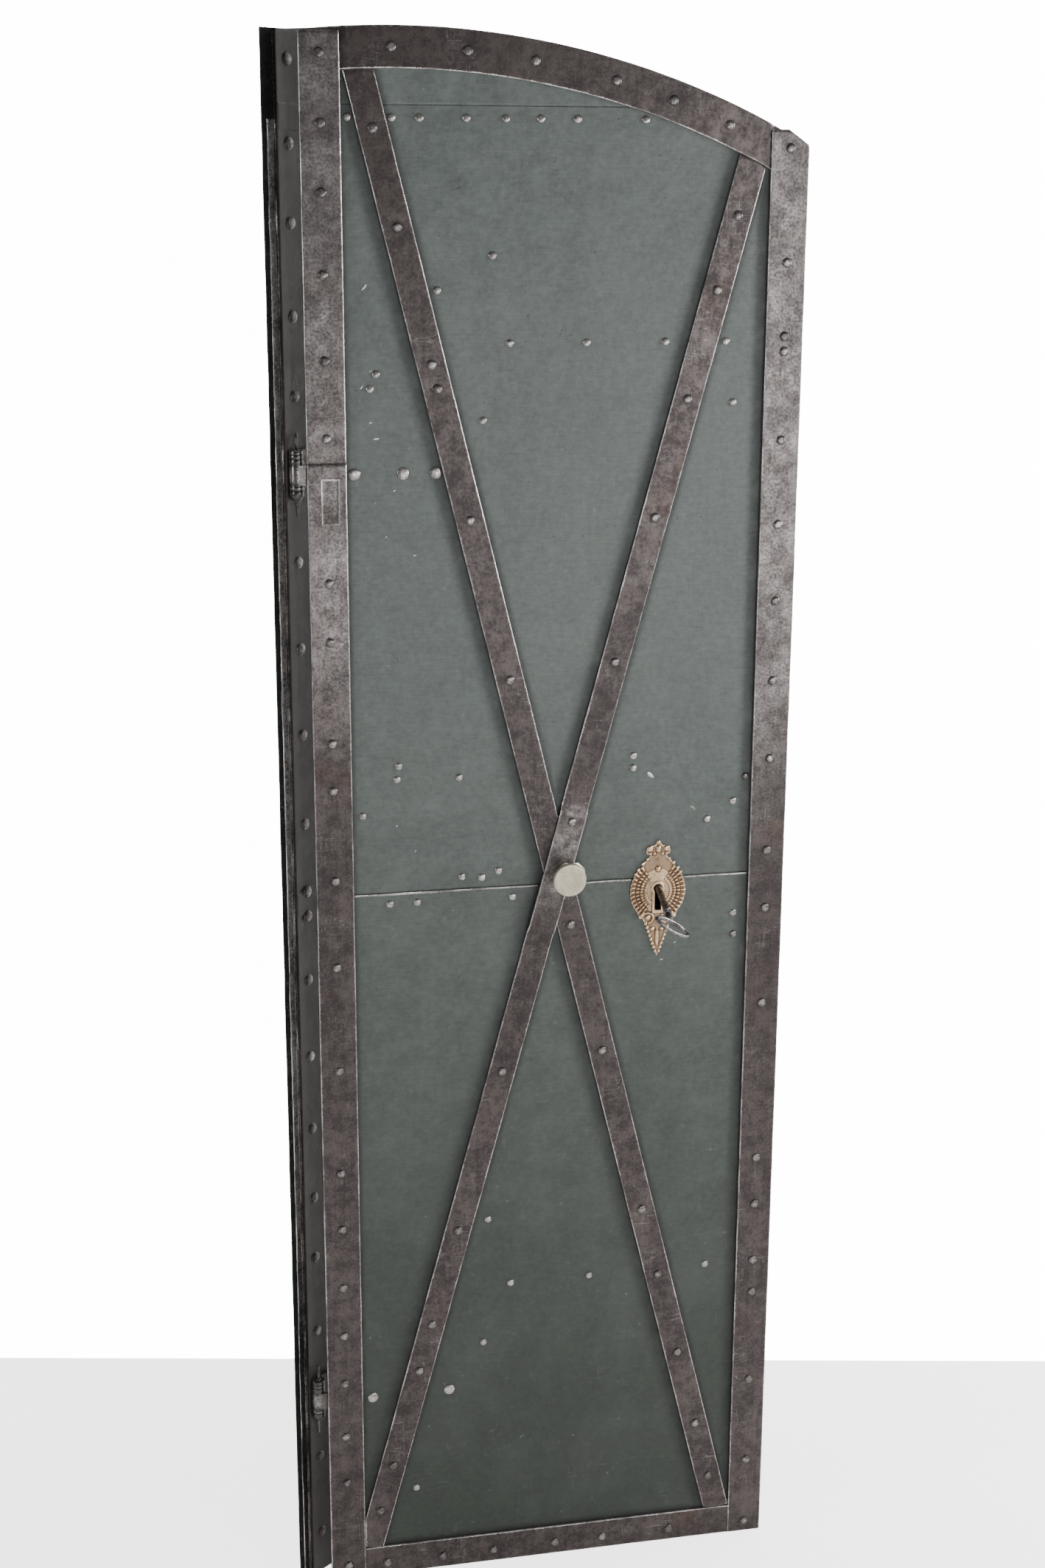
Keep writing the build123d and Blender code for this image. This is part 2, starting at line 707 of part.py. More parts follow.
def far_stile_corners():
    """Outline of the stile at the edge away from the fold, with its cut shoulder at the top."""
    inner = leaf_width - frame_width
    shoulder = leaf_width - shoulder_inset
    shoulder_height = arch_height(shoulder) + shoulder_rise
    return ((inner, 0), (leaf_width, 0), (leaf_width, arch_height(leaf_width)),
            (shoulder, shoulder_height), (inner, shoulder_height - 1))


def make_hinge(name, height, strap_spots_here):
    """A fold hinge: the front leaf's strap, the rear leaf's double plate and the loose pin."""
    half = middle_knuckle_length / 2
    bore = pin_radius + pin_clearance
    plate_back = -(sheet_thickness + hinge_plate_thickness)
    with BuildPart() as strap:
        with BuildSketch(front.level(-sheet_thickness)):
            with Locations((front_strap_length / 2, height)):
                Rectangle(front_strap_length, middle_knuckle_length)
        extrude(amount=-hinge_plate_thickness)
        with BuildSketch(front.level(-sheet_thickness - knuckle_standoff)):
            with Locations((-front_edge_gap / 2, height)):
                Rectangle(front_edge_gap, middle_knuckle_length)
        extrude(amount=-(hinge_plate_thickness - knuckle_standoff))
        with BuildSketch(Plane((axis_x, axis_y, height - half))):
            Circle(knuckle_radius)
        extrude(amount=middle_knuckle_length)
        with BuildSketch(Plane((axis_x, axis_y, height - half))):
            Circle(bore)
        extrude(amount=middle_knuckle_length, mode=Mode.SUBTRACT)
        with BuildSketch(front.level(plate_back)):
            with Locations(*strap_spots_here):
                Circle(rivet_hole_radius)
        extrude(amount=hinge_plate_thickness, mode=Mode.SUBTRACT)
    write(strap, f"{name}_front_strap")

    top = height + half + knuckle_gap + upper_knuckle_length
    foot = height - half - knuckle_gap - lower_knuckle_length
    with BuildPart() as plate:
        with BuildSketch(rear.level(-sheet_thickness)):
            with Locations(((rear_plate_start + rear_plate_end) / 2, (top + foot) / 2)):
                Rectangle(rear_plate_end - rear_plate_start, top - foot)
            for low, high in ((foot, height - half - knuckle_gap), (height + half + knuckle_gap, top)):
                with Locations(((rear_edge_overlap + rear_plate_start) / 2, (low + high) / 2)):
                    Rectangle(rear_plate_start - rear_edge_overlap, high - low)
        extrude(amount=hinge_plate_thickness)
        for low, high in ((foot, height - half - knuckle_gap), (height + half + knuckle_gap, top)):
            with BuildSketch(Plane((axis_x, axis_y, low))):
                Circle(knuckle_radius)
            extrude(amount=high - low)
        rim = plate.edges().filter_by(GeomType.CIRCLE).sort_by(Axis.Z)[0]
        chamfer(rim, length=lower_knuckle_taper, length2=knuckle_radius - pin_radius - 1.5)
        with BuildSketch(Plane((axis_x, axis_y, foot - 1))):
            Circle(bore)
        extrude(amount=top - foot + 2, mode=Mode.SUBTRACT)
        with BuildSketch(rear.level(-sheet_thickness)):
            with Locations(*[(place, height + side * rear_hinge_rise) for place in rear_hinge_places
                             for side in (-1, 1)]):
                Circle(rivet_hole_radius)
        extrude(amount=hinge_plate_thickness, mode=Mode.SUBTRACT)
    write(plate, f"{name}_rear_plate")

    side = Plane((axis_x, axis_y, top), x_dir=(0, 1, 0), z_dir=(1, 0, 0))
    length = top - foot
    with BuildPart() as pin:
        with BuildSketch(side):
            with BuildLine():
                Polyline((0, 1), (pin_radius, 1), (pin_radius, -length),
                         (pin_tip_radius, -length - pin_tip_length),
                         (0, -length - pin_tip_length), close=True)
            make_face()
        revolve(axis=Axis((axis_x, axis_y, 0), (0, 0, 1)))
        with BuildSketch(side):
            with Locations((0, ring_height / 2 + 0.5)):
                Ellipse(ring_width / 2, ring_height / 2)
                Ellipse(ring_width / 2 - ring_wire, ring_height / 2 - ring_wire, mode=Mode.SUBTRACT)
        extrude(amount=ring_wire / 2, both=True)
    write(pin, f"{name}_pin")


def make_wall_eye(name, height):
    """An eye strap on the rear leaf's far stile, for a wall pintle."""
    eye_centre = rear.at(leaf_width + eye_offset, height - eye_length / 2,
                         stile_thickness + eye_strap_thickness - eye_radius)
    with BuildPart() as eye:
        with BuildSketch(rear.level(stile_thickness)):
            with Locations((leaf_width + (eye_offset - eye_strap_reach) / 2, height)):
                Rectangle(eye_strap_reach + eye_offset, eye_length)
        extrude(amount=rear.outward * eye_strap_thickness)
        with BuildSketch(Plane(eye_centre)):
            Circle(eye_radius)
        extrude(amount=eye_length)
        with BuildSketch(Plane(eye_centre)):
            Circle(eye_bore_radius)
        extrude(amount=eye_length, mode=Mode.SUBTRACT)
        with BuildSketch(rear.level(stile_thickness)):
            with Locations(*[(leaf_width - place, height) for place in eye_rivet_places]):
                Circle(rivet_hole_radius)
        extrude(amount=rear.outward * eye_strap_thickness, mode=Mode.SUBTRACT)
    write(eye, name)


# Front leaf
make_shared_pieces(front, front_spots, strap_back)
splice_half = joint_gap / 2
make_stile(front, "front_fold_stile_lower",
           ((0, 0), (frame_width, 0), (frame_width, stile_splice_height - splice_half),
            (0, stile_splice_height - splice_half)),
           stile_thickness, between(fold_spots, 0, stile_splice_height), with_recess=True)
make_stile(front, "front_fold_stile_upper",
           ((0, stile_splice_height + splice_half), (frame_width, stile_splice_height + splice_half),
            (frame_width, leaf_height), (0, leaf_height)),
           stile_thickness, between(fold_spots, stile_splice_height, leaf_height))
make_stile(front, "front_lock_stile", far_stile_corners(), stile_thickness, lock_stile_spots)
make_rivets(front, "front_stile_rivets",
            rows_by_back(fold_spots + lock_stile_spots, stile_thickness, strap_back, frame_head_radius,
                         tail_radius))
make_rivets(front, "front_strap_rivets",
            rows_by_back(strap_spots, 0, strap_back, small_head_radius, small_tail_radius))
make_rivets(front, "front_field_rivets",
            rows_by_back(field_spots, 0, strap_back, small_head_radius, small_tail_radius))
hinge_back = -(sheet_thickness + hinge_plate_thickness)
make_rivets(front, "front_hinge_rivets",
            [(front_hinge_spots, 0, hinge_back, hinge_head_radius, small_tail_radius)])

for strap_name, (strap_height, strap_left, strap_right) in zip(("high", "middle", "low"), straps):
    with BuildPart() as inner_strap:
        with BuildSketch(front.level(-sheet_thickness)):
            add(box_area(strap_left, strap_right,
                         strap_height - strap_width / 2, strap_height + strap_width / 2))
            with Locations(*between(strap_spots + under_brace_spots + over_brace_spots,
                                    strap_height - strap_width / 2, strap_height + strap_width / 2)):
                Circle(rivet_hole_radius, mode=Mode.SUBTRACT)
        extrude(amount=-strap_thickness)
    write(inner_strap, f"{strap_name}_inner_strap")

# Rear leaf
make_shared_pieces(rear, rear_spots, sheet_back)
make_stile(rear, "rear_fold_stile",
           ((0, 0), (rear_stile_width, 0), (rear_stile_width, leaf_height), (0, leaf_height)),
           rear_stile_thickness, rear_fold_spots)
make_stile(rear, "rear_wall_stile", far_stile_corners(), stile_thickness, lock_stile_spots + eye_spots)

with BuildPart() as cover_strip:
    with BuildSketch(rear.level(rear_stile_thickness)):
        add(box_area(-cover_reach, cover_width - cover_reach, 0, leaf_height + cover_over_stile))
        with Locations(*rear_fold_spots):
            Circle(rivet_hole_radius, mode=Mode.SUBTRACT)
    extrude(amount=rear.outward * cover_thickness)
write(cover_strip, "rear_cover_strip")

make_rivets(rear, "rear_stile_rivets",
            rows_by_back(rear_fold_spots, rear_stile_thickness + cover_thickness, sheet_back,
                         frame_head_radius, tail_radius)
            + rows_by_back(lock_stile_spots, stile_thickness, sheet_back, frame_head_radius, tail_radius))

# Hinges and wall eyes
make_hinge("high_hinge", high_hinge_height, high_hinge_spots)
make_hinge("low_hinge", low_hinge_height, low_hinge_spots)
make_wall_eye("high_wall_eye", high_eye_height)
make_wall_eye("low_wall_eye", low_eye_height)
make_rivets(rear, "rear_hinge_rivets",
            [(rear_hinge_spots, 0, hinge_back, frame_head_radius, small_tail_radius)])
make_rivets(rear, "wall_eye_rivets",
            [(eye_spots, stile_thickness + eye_strap_thickness, -sheet_thickness, frame_head_radius,
              small_tail_radius)])

# Knob at the crossing, with its rose, washer and nut
knob_seat = 2 * brace_thickness
knob_base = knob_seat + rose_thickness
washer_back = -sheet_thickness - washer_thickness
nut_back = washer_back - nut_thickness
disc_foot = knob_base + knob_reach - knob_disc_thickness

with BuildPart() as rose:
    with BuildSketch(front.level(knob_seat)) as rose_shape:
        with Locations((knob_spot[0] + rose_shift, knob_spot[1] - rose_drop)):
            Rectangle(rose_size, rose_size)
        chamfer(rose_shape.vertices(), length=rose_corner)
        with Locations(knob_spot):
            Circle(knob_shank_radius + knob_shank_clearance, mode=Mode.SUBTRACT)
    extrude(amount=rose_thickness)
write(rose, "knob_rose")

with BuildPart() as knob:
    with BuildSketch(front.level(disc_foot)):
        with Locations(knob_spot):
            Circle(knob_disc_radius)
    extrude(amount=knob_disc_thickness)
    fillet(knob.edges().filter_by(GeomType.CIRCLE), radius=knob_disc_round)
    for low, high, radius in ((nut_back - thread_end, knob_base, knob_shank_radius),
                              (knob_base, knob_base + knob_base_thickness, knob_base_radius),
                              (knob_base, disc_foot, knob_stem_radius)):
        with BuildSketch(front.level(low)):
            with Locations(knob_spot):
                Circle(radius)
        extrude(amount=high - low)
write(knob, "pull_knob")

with BuildPart() as washer:
    with BuildSketch(front.level(-sheet_thickness)):
        with Locations(knob_spot):
            Circle(washer_radius)
            Circle(knob_shank_radius + knob_shank_clearance, mode=Mode.SUBTRACT)
    extrude(amount=-washer_thickness)
write(washer, "knob_washer")

with BuildPart() as nut:
    with BuildSketch(front.level(washer_back)):
        with Locations(knob_spot):
            RegularPolygon(nut_radius, 4)
            Circle(knob_shank_radius + shank_clearance, mode=Mode.SUBTRACT)
    extrude(amount=-nut_thickness)
write(nut, "knob_nut")

# Box lock on the inner side of the front leaf
case_back = -sheet_thickness - case_depth
case_floor = case_back + case_wall
bolt_face = -sheet_thickness - bolt_depth
bolt_middle = key_height - bolt_drop_below_key
bolt_tip = leaf_width + bolt_rest_out
stump_from_fold = key_from_fold + stump_past_key
arm_top = key_height - key_bit_reach - bolt_clearance
bit_foot = -sheet_thickness - key_bit_depth
bit_end = bit_foot - key_bit_length

with BuildPart() as case:
    with BuildSketch(front.level(-sheet_thickness)):
        add(box_area(case_left, case_right, case_foot, case_top))
    extrude(amount=-case_depth)
    with BuildSketch(front.level(-sheet_thickness)):
        add(box_area(case_left + case_wall, case_right - case_wall,
                     case_foot + case_wall, case_top - case_wall))
    extrude(amount=-(case_depth - case_wall), mode=Mode.SUBTRACT)
    with BuildSketch(front.level(-sheet_thickness)):
        add(box_area(case_left, case_right, case_top, case_top + case_flange))
        add(box_area(case_left, case_right, case_foot - case_flange, case_foot))
        with Locations(*lock_spots):
            Circle(rivet_hole_radius, mode=Mode.SUBTRACT)
    extrude(amount=-case_wall)
    with BuildSketch(front.level(-sheet_thickness)):
        add(box_area(case_left - 1, case_right + 1, low_seam_height - lap_depth - 1,
                     low_seam_height + joggle_length + 1))
    extrude(amount=-(sheet_thickness + joint_gap), mode=Mode.SUBTRACT)
    with BuildSketch(front.level(bolt_face + bolt_clearance)):
        with Locations((case_right, bolt_middle)):
            Rectangle(4 * case_wall, bolt_height + 2 * bolt_clearance)
    extrude(amount=-(bolt_thickness + 2 * bolt_clearance), mode=Mode.SUBTRACT)
    with BuildSketch(front.level(case_back)):
        with Locations((key_from_fold, key_height)):
            Circle(key_pivot_radius + key_pivot_clearance)
    extrude(amount=case_wall, mode=Mode.SUBTRACT)
write(case, "lock_case")

with BuildPart() as bolt:
    with BuildSketch(front.level(bolt_face)):
        add(box_area(key_from_fold - bolt_tail_behind_key, bolt_tip, bolt_middle - bolt_height / 2, arm_top))
        add(box_area(key_from_fold + bolt_shoulder_past_key, bolt_tip, bolt_middle - bolt_height / 2,
                     bolt_middle + bolt_height / 2))
        with Locations((stump_from_fold - bolt_throw / 2 + bolt_rest_out, bolt_middle)):
            SlotOverall(bolt_throw + 2 * (stump_radius + bolt_clearance), 2 * (stump_radius + bolt_clearance),
                        mode=Mode.SUBTRACT)
    extrude(amount=-bolt_thickness)
write(bolt, "lock_bolt")

with BuildPart() as stump:
    with BuildSketch(front.level(case_floor)):
        with Locations((stump_from_fold, bolt_middle)):
            Circle(stump_radius)
    extrude(amount=bolt_face - case_floor + 1)
write(stump, "lock_stump")

make_rivets(front, "lock_case_rivets",
            [(lock_spots, 0, -sheet_thickness - case_wall, small_head_radius, small_tail_radius)])

# Key, turned from upright in the keyhole, its arm bent down outside the plate
bit_way = Vector(sin(radians(key_turn)), 0, -cos(radians(key_turn)))
key_origin = front.at(key_from_fold, key_height)
key_plane = Plane(key_origin, x_dir=bit_way, z_dir=bit_way.cross(Vector(0, -1, 0)))
arm_way = Vector(0, -cos(radians(key_droop)), -sin(radians(key_droop)))
bow_side = (bit_way - arm_way * bit_way.dot(arm_way)).normalized()
elbow = front.at(key_from_fold, key_height, key_elbow_reach)
bow_plane = Plane(elbow, x_dir=bow_side, z_dir=bow_side.cross(arm_way))

with BuildPart() as key:
    for low, high, radius in ((case_back - key_pivot_overrun, bit_end, key_pivot_radius),
                              (bit_end, key_elbow_reach, key_shank_radius)):
        with BuildSketch(front.level(low)):
            with Locations((key_from_fold, key_height)):
                Circle(radius)
        extrude(amount=high - low)
    with Locations(elbow):
        Sphere(key_shank_radius)
    for place, length, radius in ((0, key_arm_length, key_shank_radius),
                                  (key_collar_place, key_collar_length, key_collar_radius)):
        with BuildSketch(Plane(elbow + arm_way * place, x_dir=bow_side, z_dir=arm_way)):
            Circle(radius)
        extrude(amount=length)
    with BuildSketch(key_plane):
        with Locations((key_bit_reach / 2, bit_foot - key_bit_length / 2)):
            Rectangle(key_bit_reach, key_bit_length)
        with Locations((key_bit_reach, bit_foot - key_bit_length / 2)):
            Rectangle(2 * key_ward_depth, key_ward_width, mode=Mode.SUBTRACT)
    extrude(amount=key_bit_thickness / 2, both=True)
    with BuildSketch(bow_plane):
        with Locations((0, key_arm_length + bow_length / 2 - 1)):
            Ellipse(bow_width / 2, bow_length / 2)
            Ellipse(bow_width / 2 - bow_wire, bow_length / 2 - bow_wire, mode=Mode.SUBTRACT)
    extrude(amount=bow_wire / 2, both=True)
write(key, "key")

# Escutcheon: an oval with a neck, a lobed crown and a pointed tail, all beaded
plate_middle = key_height - plate_centre_drop


def oval_spot(angle, share):
    """A place on the escutcheon's oval, at a share of its size."""
    return (key_from_fold + plate_half_width * share * cos(radians(angle)),
            plate_middle + plate_half_height * share * sin(radians(angle)))


def tail_half_width(drop):
    """Half width of the escutcheon's tail at a distance below the key."""
    share = (plate_tail_drop - drop) / plate_tail_drop
    return plate_half_width * 1.08 * share ** 0.85


with BuildSketch() as plate_shape:
    with Locations((key_from_fold, plate_middle)):
        Ellipse(plate_half_width, plate_half_height)
    with BuildLine():
        Spline((key_from_fold - tail_half_width(32), key_height - 32),
               (key_from_fold - tail_half_width(55), key_height - 55),
               (key_from_fold, key_height - plate_tail_drop))
        Spline((key_from_fold, key_height - plate_tail_drop),
               (key_from_fold + tail_half_width(55), key_height - 55),
               (key_from_fold + tail_half_width(32), key_height - 32))
        Line((key_from_fold + tail_half_width(32), key_height - 32),
             (key_from_fold - tail_half_width(32), key_height - 32))
    make_face()
    with BuildLine():
        Polyline((key_from_fold - plate_neck_half_width, key_height + plate_half_height / 2),
                 (key_from_fold + plate_neck_half_width, key_height + plate_half_height / 2),
                 (key_from_fold + plate_neck_half_width, plate_neck_height + key_height - 6),
                 (key_from_fold + crown_lobe_spacing / 2, plate_neck_height + key_height),
                 (key_from_fold + crown_lobe_spacing / 2, crown_height + key_height),
                 (key_from_fold + 2, finial_rise + key_height),
                 (key_from_fold - 2, finial_rise + key_height),
                 (key_from_fold - crown_lobe_spacing / 2, crown_height + key_height),
                 (key_from_fold - crown_lobe_spacing / 2, plate_neck_height + key_height),
                 (key_from_fold - plate_neck_half_width, plate_neck_height + key_height - 6), close=True)
    make_face()
    with Locations(*[(key_from_fold + side * crown_lobe_spacing / 2, key_height + crown_height - 4)
                     for side in (-1, 1)]):
        Circle(crown_lobe_radius)

bead_spots = [oval_spot(angle, rim_bead_share) for angle in range(-50, 51, 12)]
bead_spots += [oval_spot(180 + angle, rim_bead_share) for angle in range(-50, 51, 12)]
bead_spots += [oval_spot(angle, inner_bead_share) for angle in range(-46, 47, 15)]
bead_spots += [oval_spot(180 + angle, inner_bead_share) for angle in range(-46, 47, 15)]
bead_spots += [(key_from_fold + side * (tail_half_width(drop) - bead_radius - 0.8), key_height - drop)
               for drop in range(46, 80, 6) for side in (-1, 1)]
bead_spots += [(key_from_fold + side * (plate_neck_half_width - bead_radius - 0.6), key_height + rise)
               for rise in (25, 31) for side in (-1, 1)]
bead_spots += [(key_from_fold + side * crown_lobe_spacing / 2, key_height + crown_height - 4)
               for side in (-1, 1)]
bead_spots += [(key_from_fold, key_height + crown_height)]

with BuildPart() as escutcheon:
    with BuildSketch(front.level(0)):
        add(plate_shape.sketch)
    extrude(amount=plate_thickness)
    with BuildSketch(front.level(plate_thickness)):
        with Locations(*bead_spots):
            Circle(bead_radius)
    extrude(amount=bead_height, taper=bead_slope)
    with BuildSketch(front.level(plate_thickness)):
        add(key_shape(keyhole_rim))
    extrude(amount=bead_height)
    with BuildSketch(front.level(0)):
        add(plate_openings.sketch)
    extrude(amount=plate_thickness + bead_height, mode=Mode.SUBTRACT)
write(escutcheon, "escutcheon")

with BuildPart() as plate_pins:
    with BuildSketch(front.level(-2 * sheet_thickness)):
        with Locations(*plate_pin_spots):
            Circle(plate_pin_radius)
    extrude(amount=2 * sheet_thickness + plate_thickness)
    with BuildSketch(front.level(plate_thickness)):
        with Locations(*plate_pin_spots):
            Circle(plate_pin_head_radius)
    extrude(amount=plate_pin_head_height, taper=bead_slope)
write(plate_pins, "escutcheon_pins")
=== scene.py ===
"""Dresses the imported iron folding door: forged bars, painted sheets, rivets, lock furniture and hinges."""

import json
import logging
import math
from dataclasses import dataclass, field
from enum import Enum
from typing import Callable, Optional, Sequence

import bmesh
import bpy
from mathutils import Matrix, Vector, noise

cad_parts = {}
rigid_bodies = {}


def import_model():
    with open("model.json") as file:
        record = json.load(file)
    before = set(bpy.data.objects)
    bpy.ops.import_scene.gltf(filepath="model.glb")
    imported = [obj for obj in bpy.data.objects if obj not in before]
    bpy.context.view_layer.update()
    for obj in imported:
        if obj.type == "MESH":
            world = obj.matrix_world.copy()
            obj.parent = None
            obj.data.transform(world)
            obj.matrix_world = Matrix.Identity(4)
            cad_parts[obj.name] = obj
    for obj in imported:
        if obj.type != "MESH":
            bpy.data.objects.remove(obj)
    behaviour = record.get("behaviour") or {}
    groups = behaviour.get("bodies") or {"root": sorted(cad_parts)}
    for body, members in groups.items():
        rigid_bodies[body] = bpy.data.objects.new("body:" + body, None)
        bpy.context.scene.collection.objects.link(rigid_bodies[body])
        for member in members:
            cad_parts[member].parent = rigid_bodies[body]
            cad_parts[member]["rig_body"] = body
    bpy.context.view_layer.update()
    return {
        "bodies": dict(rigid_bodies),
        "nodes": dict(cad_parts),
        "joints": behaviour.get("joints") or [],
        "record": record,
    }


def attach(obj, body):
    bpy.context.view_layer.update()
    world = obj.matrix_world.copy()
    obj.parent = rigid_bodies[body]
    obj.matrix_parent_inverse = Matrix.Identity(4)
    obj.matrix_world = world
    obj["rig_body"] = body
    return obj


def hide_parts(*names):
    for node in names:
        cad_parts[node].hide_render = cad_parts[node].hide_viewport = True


MM = 0.001
log = logging.getLogger("folding_door")

Place = tuple[float, float]
Triple = tuple[float, float, float]
Colour = tuple[float, float, float, float]
Material = bpy.types.Material
Object = bpy.types.Object
Node = bpy.types.Node
Socket = bpy.types.NodeSocket
Tree = bpy.types.NodeTree


def wobble(along: float, height: float, grain: float, seed: float = 0.0) -> float:
    """Smooth noise from about -1 to 1 at a place on a leaf, with the size of its grain in mm."""
    return noise.noise(Vector((along / grain, height / grain, seed)))


def turns(count: int) -> list[float]:
    """Returns angles evenly spaced round a full turn, from 0."""
    return [2 * math.pi * k / count for k in range(count)]


def stand(side: Vector, out: Vector, origin: Vector) -> Matrix:
    """Makes a frame at a point.

    Args:
        side: the direction of its X axis.
        out: the direction of its Z axis.
        origin: the point.

    Returns:
        The frame.
    """
    frame = Matrix((side, out.cross(side), out)).transposed().to_4x4()
    frame.translation = origin
    return frame


def enter(name: str, data: bpy.types.ID) -> Object:
    """Makes an object and puts it into the scene.

    Args:
        name: the object's name.
        data: its mesh, camera or light.

    Returns:
        The new object.
    """
    item = bpy.data.objects.new(name, data)
    bpy.context.scene.collection.objects.link(item)
    return item


@dataclass(frozen=True)
class LeafFrame:
    """Where one leaf stands, with places on it in mm from its fold edge, the floor and its outer face."""
    name: str
    body: str
    corner: Place
    heading: float
    outward: float

    def along_way(self) -> Vector:
        """Returns the direction from the fold edge to the far edge."""
        turn = math.radians(self.heading)
        return Vector((math.cos(turn), math.sin(turn), 0.0))

    def out_way(self) -> Vector:
        """Returns the direction out of the leaf's outer face."""
        turn = math.radians(self.heading)
        return Vector((math.sin(turn), -math.cos(turn), 0.0)) * self.outward

    def point(self, along: float, height: float, level: float) -> Vector:
        """Gives a place on the leaf as a point of the part, in metres.

        Args:
            along: distance from the fold edge, in mm.
            height: height over the floor, in mm.
            level: distance out of the sheet's outer face, in mm.

        Returns:
            The point in the part's frame.
        """
        corner = Vector((self.corner[0], self.corner[1], 0.0))
        flat = corner + self.along_way() * along + self.out_way() * level
        return Vector((flat.x, flat.y, height)) * MM

    def read(self, point: Vector) -> Triple:
        """Turns a point of the part into its place and level on the leaf.

        Args:
            point: a point in the part's frame, in metres.

        Returns:
            Distance along, height and level, in mm.
        """
        corner = Vector((self.corner[0], self.corner[1], 0.0))
        offset = point / MM - corner
        return offset.dot(self.along_way()), offset.z, offset.dot(self.out_way())

    def frame(self, along: float, height: float, level: float) -> Matrix:
        """Gives a frame at a place, with X along the leaf and Z out of it."""
        return stand(self.along_way(), self.out_way(), self.point(along, height, level))


@dataclass
class DoorShape:
    """The door's own sizes, in mm, which its bars, braces and furniture share."""
    leaf_width: float = 570.0
    leaf_height: float = 1880.0
    arch_radius: float = 962.0
    arch_centre: Place = (105.0, 924.6)
    frame_width: float = 44.0
    sill_height: float = 40.0
    stile_thickness: float = 5.0
    rail_thickness: float = 4.0
    brace_thickness: float = 4.0
    brace_width: float = 33.0
    brace_gap: float = 0.5
    joint_gap: float = 0.3
    corner_tongue: float = 2.0
    end_gap: float = 0.4
    stile_chamfer: float = 24.0
    section_step: float = 4.0
    splice_height: float = 1424.0
    seam_height: float = 917.0
    lock_place: Place = (413.0, 905.0)
    lock_plate_half: float = 33.0
    hinge_heights: Place = (1411.0, 254.0)
    rivet_shank: float = 2.5
    fold_angle: float = 38.0
    fold_axis: Place = (-295.0, 12.0)
    rear_overlap: float = 7.0
    axis_level: float = -10.0
    under_brace: tuple[Place, Place] = ((64.0, 1840.0), (504.0, 62.0))
    over_brace_foot: Place = (53.0, 50.0)
    over_brace_top_along: float = 505.0
    crossing_flat: float = 70.0
    crossing_ramp: float = 14.0

    def arch_height(self, along: float, inset: float = 0.0) -> float:
        """Height of the arch over a place, or of an arc that lies inside it by inset."""
        reach = (self.arch_radius - inset) ** 2 - (along - self.arch_centre[0]) ** 2
        return self.arch_centre[1] + math.sqrt(reach)

    def over_brace(self) -> tuple[Place, Place]:
        """Returns the top and foot of the brace that passes over the other."""
        top = self.over_brace_top_along
        return (top, self.arch_height(top, self.frame_width) - self.brace_gap), self.over_brace_foot

    def crossing(self) -> Place:
        """Returns the place where the two braces cross.

        Returns:
            The place on the leaf, in mm.
        """
        (ax, ay), (bx, by) = self.under_brace
        (cx, cy), (dx, dy) = self.over_brace()
        share = (cx - ax) * (dy - cy) - (cy - ay) * (dx - cx)
        share /= (bx - ax) * (dy - cy) - (by - ay) * (dx - cx)
        return ax + share * (bx - ax), ay + share * (by - ay)

    def front_leaf(self) -> LeafFrame:
        """Returns the frame of the leaf with the lock."""
        return LeafFrame("front", "lock_leaf", (-self.leaf_width / 2, self.rail_thickness / 2), 0.0, 1.0)

    def rear_leaf(self) -> LeafFrame:
        """Returns the frame of the leaf that hangs on the wall.

        Returns:
            The leaf's frame, turned about the fold axis.
        """
        turn = math.radians(self.fold_angle)
        corner = (self.fold_axis[0] - self.rear_overlap * math.cos(turn) + self.axis_level * math.sin(turn),
                  self.fold_axis[1] - self.rear_overlap * math.sin(turn) - self.axis_level * math.cos(turn))
        return LeafFrame("rear", "wall_leaf", corner, self.fold_angle, -1.0)


